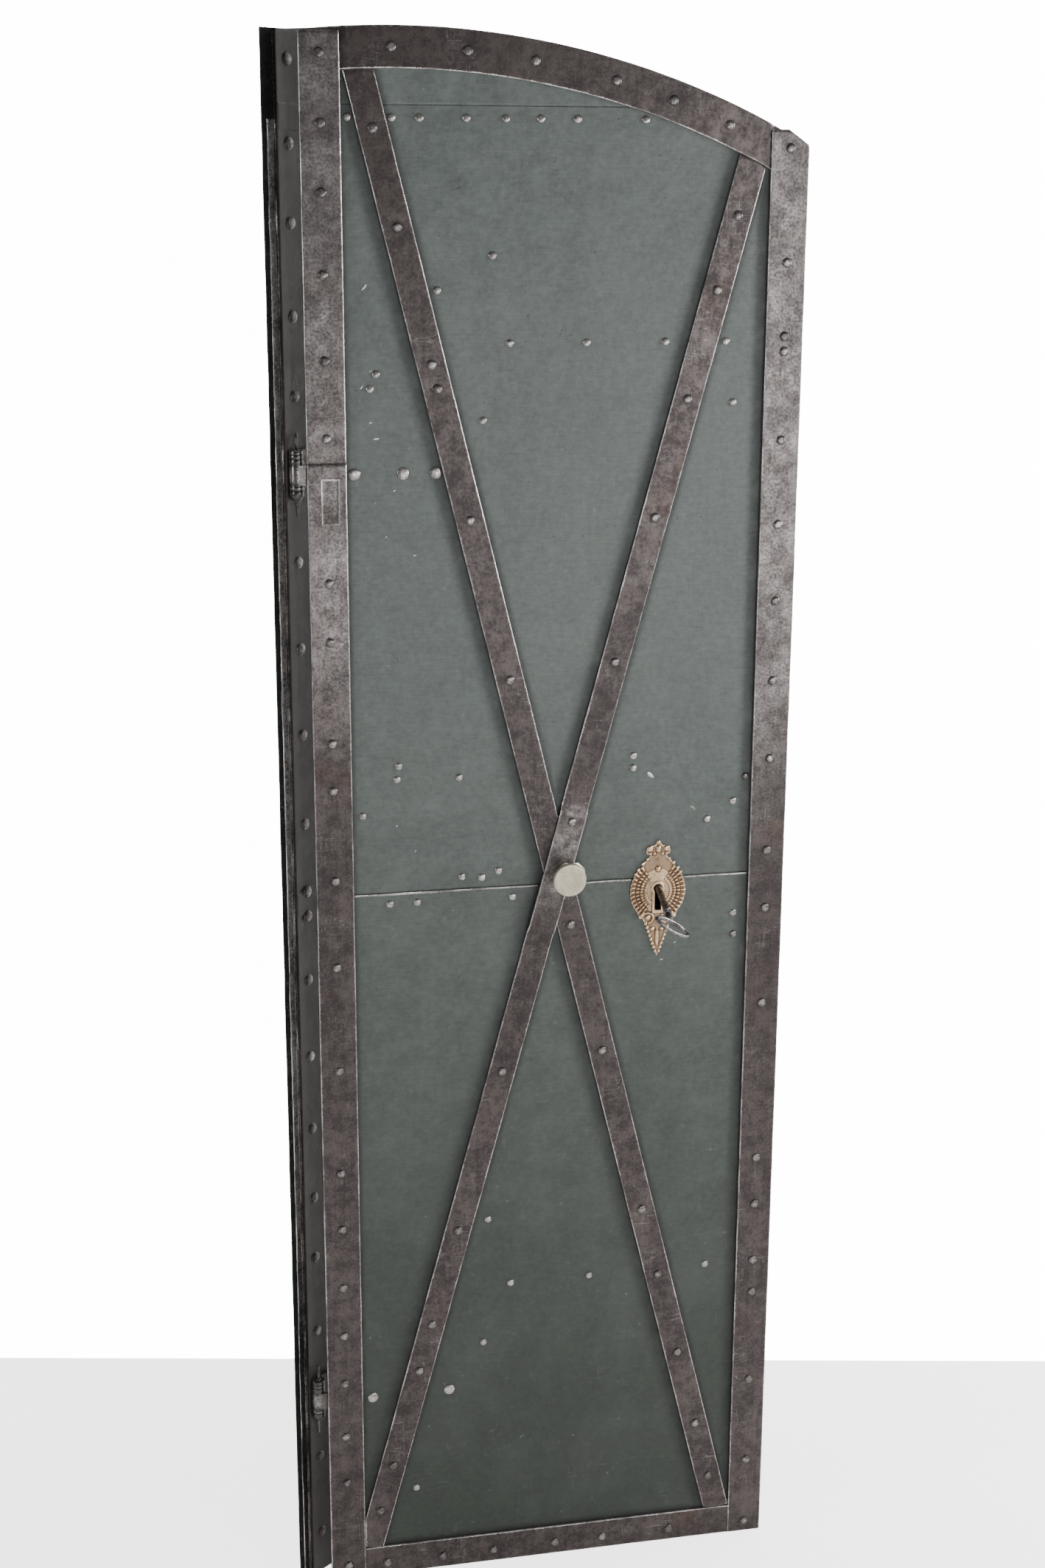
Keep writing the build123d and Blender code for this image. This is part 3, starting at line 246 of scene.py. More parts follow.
class Shell:
    """Collects the points, faces and per-point marks of one mesh."""

    def __init__(self) -> None:
        """Starts with nothing in it."""
        self.points: list[Vector] = []
        self.faces: list[tuple[int, ...]] = []
        self.marks: dict[str, list[float]] = {"edge": [], "rivet": [], "tone": []}

    def add(self, point: Vector, edge: float = 20.0, rivet: float = 40.0, tone: float = 0.0) -> int:
        """Adds one point.

        Args:
            point: its place, in metres.
            edge: distance to the piece's nearest edge, in mm.
            rivet: distance to the nearest rivet, in mm.
            tone: from -1, dark, to 1, light: painted shade below zero, painted sheen and highlight above it,
                which on some pieces is also rubbed bright metal.

        Returns:
            The point's number.
        """
        self.points.append(point)
        self.marks["tone"].append(tone)
        self.marks["edge"].append(edge)
        self.marks["rivet"].append(rivet)
        return len(self.points) - 1

    def join(self, rows: Sequence[Sequence[int]]) -> None:
        """Joins rings of points in turn, each to a ring of as many or to a single point.

        Args:
            rows: the numbers of each ring's points.
        """
        for first, second in zip(rows, rows[1:]):
            count = max(len(first), len(second))
            for k in range(count):
                after = (k + 1) % count
                if len(second) == 1:
                    self.faces.append((first[k], first[after], second[0]))
                elif len(first) == 1:
                    self.faces.append((second[after], second[k], first[0]))
                else:
                    self.faces.append((first[k], first[after], second[after], second[k]))

    def cap(self, rows: Sequence[Sequence[int]]) -> None:
        """Closes the first and the last ring with one face each."""
        self.faces.append(tuple(rows[0]))
        self.faces.append(tuple(reversed(rows[-1])))

    def lathe(self, frame: Matrix, profile: Sequence[Sequence[float]], sides: int,
              shape: Optional[Callable[[float, float], float]] = None, edge: float = 20.0) -> None:
        """Turns a profile about a frame's Z axis and closes it where it meets the axis.

        Args:
            frame: where the axis stands, in metres.
            profile: radius and height of each ring, in mm, and its tone where it has one.
            sides: points in a ring.
            shape: gives a factor on the radius for an angle and a radius.
            edge: the edge mark of its points.
        """
        rows: list[list[int]] = []
        for radius, height, *rest in profile:
            tone = rest[0] if rest else 0.0
            if radius < 1e-6:
                rows.append([self.add(frame @ Vector((0, 0, height * MM)), edge, tone=tone)])
                continue
            row = []
            for angle in turns(sides):
                reach = radius * (shape(angle, radius) if shape else 1.0)
                spot = Vector((math.cos(angle) * reach, math.sin(angle) * reach, height)) * MM
                row.append(self.add(frame @ spot, edge, tone=tone))
            rows.append(row)
        self.join(rows)

    def tube(self, path: Sequence[Vector], radii: Sequence[float], sides: int = 12,
             closed: bool = False) -> None:
        """Sweeps a round bar along a path of points in metres, with radii in mm.

        Args:
            path: the bar's middle line.
            radii: its radius at each point of the path.
            sides: points in a ring.
            closed: whether its end meets its start.
        """
        rows = []
        up = Vector((0.0, 0.0, 1.0))
        count = len(path)
        for k, centre in enumerate(path):
            if closed:
                way = path[(k + 1) % count] - path[k - 1]
            else:
                way = path[min(k + 1, count - 1)] - path[max(k - 1, 0)]
            way.normalize()
            side = way.cross(up) if abs(way.dot(up)) < 0.95 else way.cross(Vector((1.0, 0.0, 0.0)))
            side.normalize()
            other = way.cross(side).normalized()
            rows.append([self.add(centre + (side * math.cos(a) + other * math.sin(a)) * radii[k] * MM)
                         for a in turns(sides)])
        self.join([*rows, rows[0]] if closed else rows)
        if not closed:
            self.cap(rows)

    def build(self, name: str, material: Material, smooth_angle: float = 40.0) -> Object:
        """Makes the mesh object.

        Args:
            name: the piece's name.
            material: its finish.
            smooth_angle: faces that meet at a smaller angle, in degrees, are shaded smoothly.

        Returns:
            The new object.
        """
        mesh = bpy.data.meshes.new(name)
        mesh.from_pydata([tuple(p) for p in self.points], [], self.faces)
        for label, values in self.marks.items():
            mesh.attributes.new(label, "FLOAT", "POINT").data.foreach_set("value", values)
        form = bmesh.new()
        form.from_mesh(mesh)
        bmesh.ops.recalc_face_normals(form, faces=form.faces)
        limit = math.radians(smooth_angle)
        for line in form.edges:
            line.smooth = len(line.link_faces) == 2 and line.calc_face_angle(0.0) < limit
        for face in form.faces:
            face.smooth = True
        form.to_mesh(mesh)
        form.free()
        mesh.materials.append(material)
        return enter(name, mesh)


def settle(piece: Object, body: str, slot: str, *nodes: str) -> None:
    """Lets a piece ride on a body in place of its CAD nodes and logs it.

    Args:
        piece: the finished object.
        body: the CAD body that it moves with.
        slot: not used.
        nodes: the CAD nodes that it stands for.
    """
    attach(piece, body)
    if nodes:
        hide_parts(*nodes)
    log.info("%s: %d faces on %s", piece.name, len(piece.data.polygons), body)


class Weave:
    """Short calls that add and link shader nodes in one node tree."""

    def __init__(self, tree: Tree) -> None:
        """Works in the given tree."""
        self.tree = tree

    def put(self, kind: str, inputs: Optional[dict] = None, **settings: object) -> Node:
        """Adds a node.

        Args:
            kind: the node's type.
            inputs: value or socket for each named or numbered input.
            settings: properties of the node.

        Returns:
            The new node.
        """
        node = self.tree.nodes.new(kind)
        for name, value in settings.items():
            setattr(node, name, value)
        self.feed(node, inputs or {})
        return node

    def feed(self, node: Node, inputs: dict) -> None:
        """Gives a node its inputs.

        Args:
            node: the node.
            inputs: value or socket for each named or numbered input.
        """
        for name, value in inputs.items():
            if isinstance(value, Socket):
                self.tree.links.new(value, node.inputs[name])
            else:
                node.inputs[name].default_value = value

    def math(self, how: str, first: object, second: object = 0.0, clamp: bool = False) -> Socket:
        """Does arithmetic on two values and returns the result's socket."""
        return self.put("ShaderNodeMath", {0: first, 1: second}, operation=how, use_clamp=clamp).outputs[0]

    def times(self, first: object, second: object) -> Socket:
        """Multiplies two values."""
        return self.math("MULTIPLY", first, second)

    def total(self, *shares: tuple[Socket, float]) -> Socket:
        """Adds up values, each times its own factor.

        Args:
            shares: each value with its factor.

        Returns:
            The socket of the result.
        """
        whole = self.times(*shares[0])
        for value, factor in shares[1:]:
            whole = self.math("ADD", whole, self.times(value, factor))
        return whole

    def mix(self, share: object, first: object, second: object, how: str = "MIX") -> Socket:
        """Mixes two colours and returns the result's socket."""
        return self.put("ShaderNodeMix", {0: share, 6: first, 7: second}, data_type="RGBA",
                        blend_type=how).outputs[2]

    def tint(self, colour: object, mask: Socket, share: float, other: Colour) -> Socket:
        """Mixes a share of another colour into a colour where a mask says."""
        return self.mix(self.times(mask, share), colour, other)

    def span(self, value: object, low: float, high: float, to_low: float = 0.0,
             to_high: float = 1.0) -> Socket:
        """Maps a value from one range to another, smoothly and within its ends.

        Args:
            value: the value.
            low: where its range starts.
            high: where its range ends.
            to_low: what the start becomes.
            to_high: what the end becomes.

        Returns:
            The socket of the result.
        """
        ends = {"From Min": low, "From Max": high, "To Min": to_low, "To Max": to_high}
        return self.put("ShaderNodeMapRange", {"Value": value, **ends},
                        interpolation_type="SMOOTHSTEP").outputs["Result"]

    def grain(self, where: object, scale: object, detail: float = 4.0, rough: float = 0.55) -> Socket:
        """Adds noise and returns its value's socket."""
        return self.put("ShaderNodeTexNoise", {"Vector": where, "Scale": scale, "Detail": detail,
                                               "Roughness": rough}).outputs[0]

    def stretch(self, where: object, factors: Triple) -> Socket:
        """Scales coordinates by a factor on each axis."""
        return self.put("ShaderNodeVectorMath", {0: where, 1: factors}, operation="MULTIPLY").outputs[0]

    def mark(self, name: str) -> Socket:
        """Reads a mark that the mesh's points carry."""
        return self.put("ShaderNodeAttribute", attribute_name=name).outputs["Fac"]

    def group(self, tree: Tree, **inputs: object) -> Node:
        """Places a shared effect with its own values."""
        return self.put("ShaderNodeGroup", {name.capitalize(): value for name, value in inputs.items()},
                        node_tree=tree)


class Effect(Enum):
    """The effects that several finishes share."""
    WEAR_AND_GLINT = "edge wear and glint"
    PITS = "iron pits"
    PATCH = "patches"
    SCRATCH = "fine scratches"


class Effects:
    """Builds each shared effect once, as a shader node group."""

    def __init__(self) -> None:
        """Makes the groups."""
        self.trees: dict[Effect, Tree] = {
            Effect.WEAR_AND_GLINT: self._wear_and_glint(),
            Effect.PITS: self._pits(),
            Effect.PATCH: self._patch(),
            Effect.SCRATCH: self._scratch(),
        }

    @staticmethod
    def _start(effect: Effect, inputs: Sequence[tuple[str, float]],
               outputs: Sequence[str]) -> tuple[Weave, Node, Node]:
        """Makes an empty group with its sockets.

        Args:
            effect: names the group.
            inputs: name and default of each number that goes in.
            outputs: name of each value that comes out.

        Returns:
            The tree's helper, the input node and the output node.
        """
        tree = bpy.data.node_groups.new(effect.value, "ShaderNodeTree")
        tree.interface.new_socket("Where", in_out="INPUT", socket_type="NodeSocketVector")
        for name, value in inputs:
            socket = tree.interface.new_socket(name, in_out="INPUT", socket_type="NodeSocketFloat")
            socket.default_value = value
        for name in outputs:
            tree.interface.new_socket(name, in_out="OUTPUT", socket_type="NodeSocketFloat")
        weave = Weave(tree)
        return weave, weave.put("NodeGroupInput"), weave.put("NodeGroupOutput")

    def _wear_and_glint(self) -> Tree:
        """Bright metal along an edge, in long uneven runs: partly rubbed bare metal, partly a painted
        highlight where the edge catches the light.

        Returns:
            The group's tree.
        """
        weave, given, out = self._start(Effect.WEAR_AND_GLINT, (("Distance", 20.0), ("Width", 1.5), ("Breakup", 320.0)),
                                        ("Mask",))
        where = given.outputs["Where"]
        broken = weave.grain(where, given.outputs["Breakup"], 4.0, 0.6)
        runs = weave.grain(where, 26.0, 4.0, 0.6)
        reach = weave.times(given.outputs["Width"], weave.span(broken, 0.3, 0.7, 0.55, 1.35))
        share = weave.math("DIVIDE", given.outputs["Distance"], reach)
        mask = weave.times(weave.span(share, 0.2, 1.0, 1.0, 0.0), weave.span(runs, 0.36, 0.6, 0.25, 1.0))
        weave.feed(out, {"Mask": mask})
        return weave.tree

    def _pits(self) -> Tree:
        """Small pits eaten by rust, with a finer tooth between them.

        Returns:
            The group's tree.
        """
        weave, given, out = self._start(Effect.PITS, (("Scale", 300.0), ("Amount", 0.5)), ("Height", "Mask"))
        where = given.outputs["Where"]
        cells = weave.put("ShaderNodeTexVoronoi", {"Vector": where, "Scale": given.outputs["Scale"],
                                                   "Randomness": 1.0}).outputs["Distance"]
        region = weave.grain(where, 38.0, 3.0)
        amount = weave.math("SUBTRACT", given.outputs["Amount"], 0.5)
        deep = weave.times(weave.span(cells, 0.0, 0.36, 1.0, 0.0),
                           weave.span(weave.math("ADD", region, amount), 0.46, 0.62))
        tooth = weave.grain(where, 900.0, 3.0, 0.6)
        height = weave.math("SUBTRACT", weave.times(tooth, 0.35), deep)
        weave.feed(out, {"Height": height, "Mask": deep})
        return weave.tree

    def _patch(self) -> Tree:
        """Soft patches with ragged borders, for rust, stains and bare places.

        Returns:
            The group's tree.
        """
        weave, given, out = self._start(Effect.PATCH, (("Scale", 14.0), ("Cover", 0.3), ("Sharp", 0.08)),
                                        ("Mask",))
        where = given.outputs["Where"]
        wide = weave.grain(where, given.outputs["Scale"], 8.0, 0.62)
        limit = weave.math("SUBTRACT", 0.72, weave.times(given.outputs["Cover"], 0.4))
        low = weave.math("SUBTRACT", limit, given.outputs["Sharp"])
        high = weave.math("ADD", limit, given.outputs["Sharp"])
        node = weave.put("ShaderNodeMapRange", {"Value": wide, "From Min": low, "From Max": high})
        weave.feed(out, {"Mask": node.outputs["Result"]})
        return weave.tree

    def _scratch(self) -> Tree:
        """Thin scratches in two directions.

        Returns:
            The group's tree.
        """
        weave, given, out = self._start(Effect.SCRATCH, (("Amount", 0.5),), ("Mask",))
        where = given.outputs["Where"]
        masks = []
        for factors, scale in (((1.0, 1.0, 0.06), 240.0), ((0.08, 0.3, 1.0), 170.0)):
            line = weave.grain(weave.stretch(where, factors), scale, 2.0, 0.4)
            away = weave.math("ABSOLUTE", weave.math("SUBTRACT", line, 0.5))
            masks.append(weave.span(away, 0.0, 0.012, 1.0, 0.0))
        region = weave.span(weave.grain(where, 22.0, 4.0), 0.52, 0.62)
        both = weave.times(weave.math("MAXIMUM", masks[0], masks[1]), region)
        weave.feed(out, {"Mask": weave.times(both, given.outputs["Amount"])})
        return weave.tree


def new_material(name: str) -> tuple[Material, Weave, Node, Socket]:
    """Makes an empty material.

    Args:
        name: its name.

    Returns:
        The material, its tree's helper, its Principled shader and the coordinates of its surface.
    """
    material = bpy.data.materials.new(name)
    material.use_nodes = True
    weave = Weave(material.node_tree)
    shader = material.node_tree.nodes["Principled BSDF"]
    where = weave.put("ShaderNodeTexCoord").outputs["Object"]
    return material, weave, shader, where


def dent(weave: Weave, shader: Node, height: Socket, depth: float) -> None:
    """Feeds a height to the shader's normal through a bump of a depth in metres."""
    bump = weave.put("ShaderNodeBump", {"Height": height, "Strength": 1.0, "Distance": depth})
    weave.feed(shader, {"Normal": bump.outputs["Normal"]})


@dataclass(frozen=True)
class ForgedIron:
    """Dark wrought iron: cloudy, finely pitted, with a little rust, bright along its edges as rubbed metal
    and painted highlight, with painted shade round the rivets and the painted sheen and shade of the tone
    mark.
    """
    name: str
    dark: Colour = (0.038, 0.030, 0.030, 1.0)
    light: Colour = (0.094, 0.078, 0.074, 1.0)
    bright: Colour = (0.72, 0.69, 0.67, 1.0)
    rust: Colour = (0.11, 0.058, 0.040, 1.0)
    grime_and_shade: Colour = (0.006, 0.006, 0.006, 1.0)
    rust_cover: float = 0.10
    edge_width: float = 1.8
    pit_amount: float = 0.42
    roughness: float = 0.36
    metallic: float = 0.62
    depth: float = 0.0002
    specular: float = 0.5
    marked: bool = True

    def make(self, effects: Effects) -> Material:
        """Builds the material.

        Args:
            effects: the shared effects.

        Returns:
            The finished material.
        """
        material, weave, shader, where = new_material(self.name)
        wide = weave.grain(where, 12.0, 5.0, 0.55)
        cloud = weave.grain(where, 62.0, 8.0, 0.66)
        fine = weave.grain(where, 330.0, 4.0, 0.65)
        streak = weave.grain(weave.stretch(where, (1.0, 1.0, 0.07)), 240.0, 3.0, 0.5)
        tone = weave.total((wide, 0.22), (cloud, 0.36), (fine, 0.32), (streak, 0.10))
        pits = weave.group(effects.trees[Effect.PITS], where=where, scale=380.0, amount=self.pit_amount)
        rust = weave.group(effects.trees[Effect.PATCH], where=where, scale=9.0, cover=self.rust_cover,
                           sharp=0.09).outputs["Mask"]
        scratch = weave.group(effects.trees[Effect.SCRATCH], where=where, amount=0.6).outputs["Mask"]
        colour = weave.mix(weave.span(tone, 0.41, 0.6), self.dark, self.light)
        colour = weave.tint(colour, rust, 0.42, self.rust)
        colour = weave.tint(colour, scratch, 0.22, self.bright)
        rough = weave.math("ADD", weave.span(tone, 0.4, 0.6, self.roughness + 0.08, self.roughness - 0.06),
                           weave.times(rust, 0.2))
        metal: object = self.metallic
        if self.marked:
            rubbed = weave.mark("tone")
            edge_glint_and_wear = weave.group(effects.trees[Effect.WEAR_AND_GLINT], where=where, distance=weave.mark("edge"),
                               width=self.edge_width).outputs["Mask"]
            # Painted shade: darker in a ring just round each rivet head
            ring = weave.span(weave.mark("rivet"), 5.5, 8.5, 1.0, 0.0)
            colour = weave.mix(weave.times(ring, weave.span(cloud, 0.4, 0.6, 0.2, 0.6)), colour, self.dark)
            speck = weave.times(weave.span(fine, 0.36, 0.62, 0.35, 1.0),
                                weave.span(cloud, 0.38, 0.62, 0.62, 1.0))
            # Painted sheen and highlight in specks where the tone mark is above zero, with rubbed metal where
            # it marks hammering
            shiny = weave.times(weave.span(rubbed, 0.0, 1.0), speck)
            colour = weave.tint(colour, shiny, 0.75, self.bright)
            # Painted shade where the tone mark is below zero
            colour = weave.tint(colour, weave.span(rubbed, 0.0, -1.0), 0.85, self.grime_and_shade)
            # Bright along the edges: rubbed metal and a painted highlight
            colour = weave.tint(colour, edge_glint_and_wear, 0.85, self.bright)
            rough = weave.math("SUBTRACT", rough, weave.times(edge_glint_and_wear, 0.12), clamp=True)
            metal = weave.math("ADD", self.metallic, weave.times(edge_glint_and_wear, 0.9 - self.metallic))
        colour = weave.tint(colour, pits.outputs["Mask"], 0.45, self.dark)
        height = weave.total((pits.outputs["Height"], 1.0), (wide, 1.4), (cloud, 1.5), (fine, 0.4))
        weave.feed(shader, {"Base Color": colour, "Roughness": rough, "Metallic": metal,
                            "Specular IOR Level": self.specular})
        dent(weave, shader, height, self.depth)
        return material


@dataclass(frozen=True)
class PaintedSheet:
    """Worn grey-green paint on thin iron sheet, with painted shade: a light falloff that darkens it towards
    the floor, and painted shadow and grime beside the bars.
    """
    name: str
    leaf: LeafFrame
    shape: DoorShape
    margin: float = 0.0
    # high and low are the lit colour high on the leaf and the shaded colour near the floor: a painted light
    # falloff
    high: Colour = (0.083, 0.100, 0.092, 1.0)
    low: Colour = (0.019, 0.0275, 0.0200, 1.0)
    iron: Colour = (0.046, 0.041, 0.038, 1.0)
    dust: Colour = (0.22, 0.23, 0.22, 1.0)
    grime_and_shade: Colour = (0.010, 0.011, 0.011, 1.0)
    bare: Colour = (0.60, 0.585, 0.565, 1.0)
    roughness: float = 0.42
    depth: float = 0.0005

    def _along(self, weave: Weave, where: Socket) -> Socket:
        """The distance from the leaf's fold edge, in metres.

        Args:
            weave: the material's helper.
            where: the coordinates of the surface.

        Returns:
            The socket of the result.
        """
        corner = Vector((self.leaf.corner[0], self.leaf.corner[1], 0.0)) * MM
        offset = weave.put("ShaderNodeVectorMath", {0: where, 1: corner}, operation="SUBTRACT").outputs[0]
        return weave.put("ShaderNodeVectorMath", {0: offset, 1: self.leaf.along_way()},
                         operation="DOT_PRODUCT").outputs["Value"]

    def _beside_bars(self, weave: Weave, along: Socket, height: Socket) -> Socket:
        """A mask of painted shadow and grime that falls off beside each bar of the leaf, wider on the side
        away from the lock, where the shadows of the bars fall.

        Args:
            weave: the material's helper.
            along: distance from the fold edge, in metres.
            height: height over the floor, in metres.

        Returns:
            The socket of the result.
        """
        shape = self.shape
        half = shape.brace_width / 2 * MM
        masks = []
        for (ax, ay), (bx, by) in (shape.under_brace, shape.over_brace()):
            length = math.hypot(bx - ax, by - ay)
            side = Vector(((ay - by) / length, (bx - ax) / length, 0.0))
            if side.x < 0:
                side = -side
            shift = (side.x * ax + side.y * ay) * MM
            flat = weave.math("ADD", weave.times(along, side.x), weave.times(height, side.y))
            away = weave.math("SUBTRACT", flat, shift)
            # Painted shadow: 24 mm wide on the side away from the lock, 9 mm on the other side
            masks.append(weave.times(weave.span(away, half, half + 0.009, 1.0, 0.0),
                                    weave.span(away, -half - 0.024, -half, 0.0, 1.0)))
        # Painted shadow beside the lock stile, the fold stile and the sill
        inner = (shape.leaf_width - shape.frame_width) * MM
        masks.append(weave.span(along, inner - 0.020, inner, 0.0, 1.0))
        masks.append(weave.span(along, shape.frame_width * MM, shape.frame_width * MM + 0.008, 1.0, 0.0))
        masks.append(weave.span(height, shape.sill_height * MM, shape.sill_height * MM + 0.012, 1.0, 0.0))
        total = masks[0]
        for mask in masks[1:]:
            total = weave.math("MAXIMUM", total, mask)
        return total

    def make(self, effects: Effects) -> Material:
        """Builds the material.

        Args:
            effects: the shared effects.

        Returns:
            The finished material.
        """
        material, weave, shader, where = new_material(self.name)
        normal = weave.put("ShaderNodeTexCoord").outputs["Normal"]
        height = weave.put("ShaderNodeSeparateXYZ", {0: where}).outputs["Z"]
        wide = weave.grain(where, 6.0, 4.0, 0.5)
        middle = weave.grain(where, 30.0, 6.0, 0.62)
        fine = weave.grain(where, 150.0, 8.0, 0.7)
        hair = weave.grain(weave.stretch(where, (0.12, 0.12, 1.0)), 420.0, 3.0, 0.55)
        along = self._along(weave, where)
        # Painted shade: the paint runs from the lit colour high on the leaf to the shaded colour near the
        # floor
        rise = weave.span(weave.math("ADD", height, weave.times(wide, 0.3)), 0.25, 1.45)
        colour = weave.mix(rise, self.low, self.high)
        shade = weave.math("ADD", weave.span(middle, 0.3, 0.7, 0.86, 1.12),
                           weave.span(fine, 0.32, 0.68, -0.13, 0.13))
        shade = weave.math("ADD", shade, weave.span(hair, 0.35, 0.65, -0.06, 0.06))
        tint = weave.put("ShaderNodeCombineXYZ", {0: shade, 1: shade, 2: shade}).outputs[0]
        colour = weave.mix(1.0, colour, tint, "MULTIPLY")
        stain = weave.group(effects.trees[Effect.PATCH], where=where, scale=7.0, cover=0.3, sharp=0.14)
        colour = weave.tint(colour, stain.outputs["Mask"], 0.10, self.dust)
        specks = weave.group(effects.trees[Effect.PATCH], where=where, scale=150.0, cover=0.03, sharp=0.02)
        colour = weave.tint(colour, specks.outputs["Mask"], 0.45, self.dust)
        scratch = weave.group(effects.trees[Effect.SCRATCH], where=where, amount=0.6).outputs["Mask"]
        colour = weave.tint(colour, scratch, 0.22, self.dust)
        pits = weave.group(effects.trees[Effect.PITS], where=where, scale=190.0, amount=0.40)
        colour = weave.tint(colour, pits.outputs["Mask"], 0.6, self.grime_and_shade)
        if self.margin:
            bare = weave.span(along, (self.margin - 4.0) * MM, self.margin * MM, 1.0, 0.0)
            colour = weave.mix(bare, colour, self.iron)
        # Painted shadow and grime beside the bars, on the outer face only
        facing = weave.put("ShaderNodeVectorMath", {0: normal, 1: self.leaf.out_way()},
                           operation="DOT_PRODUCT").outputs["Value"]
        grimy = weave.times(self._beside_bars(weave, along, height), weave.span(middle, 0.25, 0.6, 0.6, 1.0))
        grimy = weave.times(grimy, weave.span(facing, 0.0, 0.5, 0.12, 1.0))
        colour = weave.tint(colour, grimy, 0.66, self.grime_and_shade)
        upward = weave.put("ShaderNodeSeparateXYZ", {0: normal}).outputs["Z"]
        rim = weave.times(weave.span(upward, 0.4, 0.7), weave.span(fine, 0.36, 0.52))
        colour = weave.mix(rim, colour, self.bare)
        rough = weave.math("ADD", weave.span(middle, 0.3, 0.7, self.roughness - 0.05, self.roughness + 0.08),
                           weave.times(grimy, 0.25))
        surface = weave.total((wide, 9.0), (middle, 1.4), (fine, 0.5), (pits.outputs["Height"], 0.5),
                              (scratch, -0.12))
        weave.feed(shader, {"Base Color": colour, "Roughness": rough, "Metallic": 0.0,
                            "Specular IOR Level": 0.5})
        dent(weave, shader, surface, self.depth)
        return material


@dataclass(frozen=True)
class CastMetal:
    """Brass, steel or pale alloy with darker hollows and bright high spots."""
    name: str
    dark: Colour
    light: Colour
    roughness: float = 0.34
    metallic: float = 0.9
    depth: float = 0.0002
    tarnish: float = 0.4
    crested: bool = False

    def make(self, effects: Effects) -> Material:
        """Builds the material.

        Args:
            effects: the shared effects.

        Returns:
            The finished material.
        """
        material, weave, shader, where = new_material(self.name)
        fine = weave.grain(where, 420.0, 5.0, 0.6)
        wide = weave.grain(where, 90.0, 4.0, 0.55)
        stain = weave.group(effects.trees[Effect.PATCH], where=where, scale=60.0, cover=self.tarnish,
                            sharp=0.1)
        tone = weave.total((fine, 0.5), (wide, 0.5))
        share = weave.span(tone, 0.36, 0.6)
        if self.crested:
            share = weave.times(weave.span(weave.mark("crest"), -0.75, 0.7),
                                weave.span(tone, 0.3, 0.62, 0.6, 1.0))
        colour = weave.mix(share, self.dark, self.light)
        colour = weave.tint(colour, stain.outputs["Mask"], 0.4, self.dark)
        rough = weave.span(tone, 0.3, 0.7, self.roughness + 0.1, self.roughness - 0.06)
        weave.feed(shader, {"Base Color": colour, "Roughness": rough, "Metallic": self.metallic})
        dent(weave, shader, tone, self.depth)
        return material


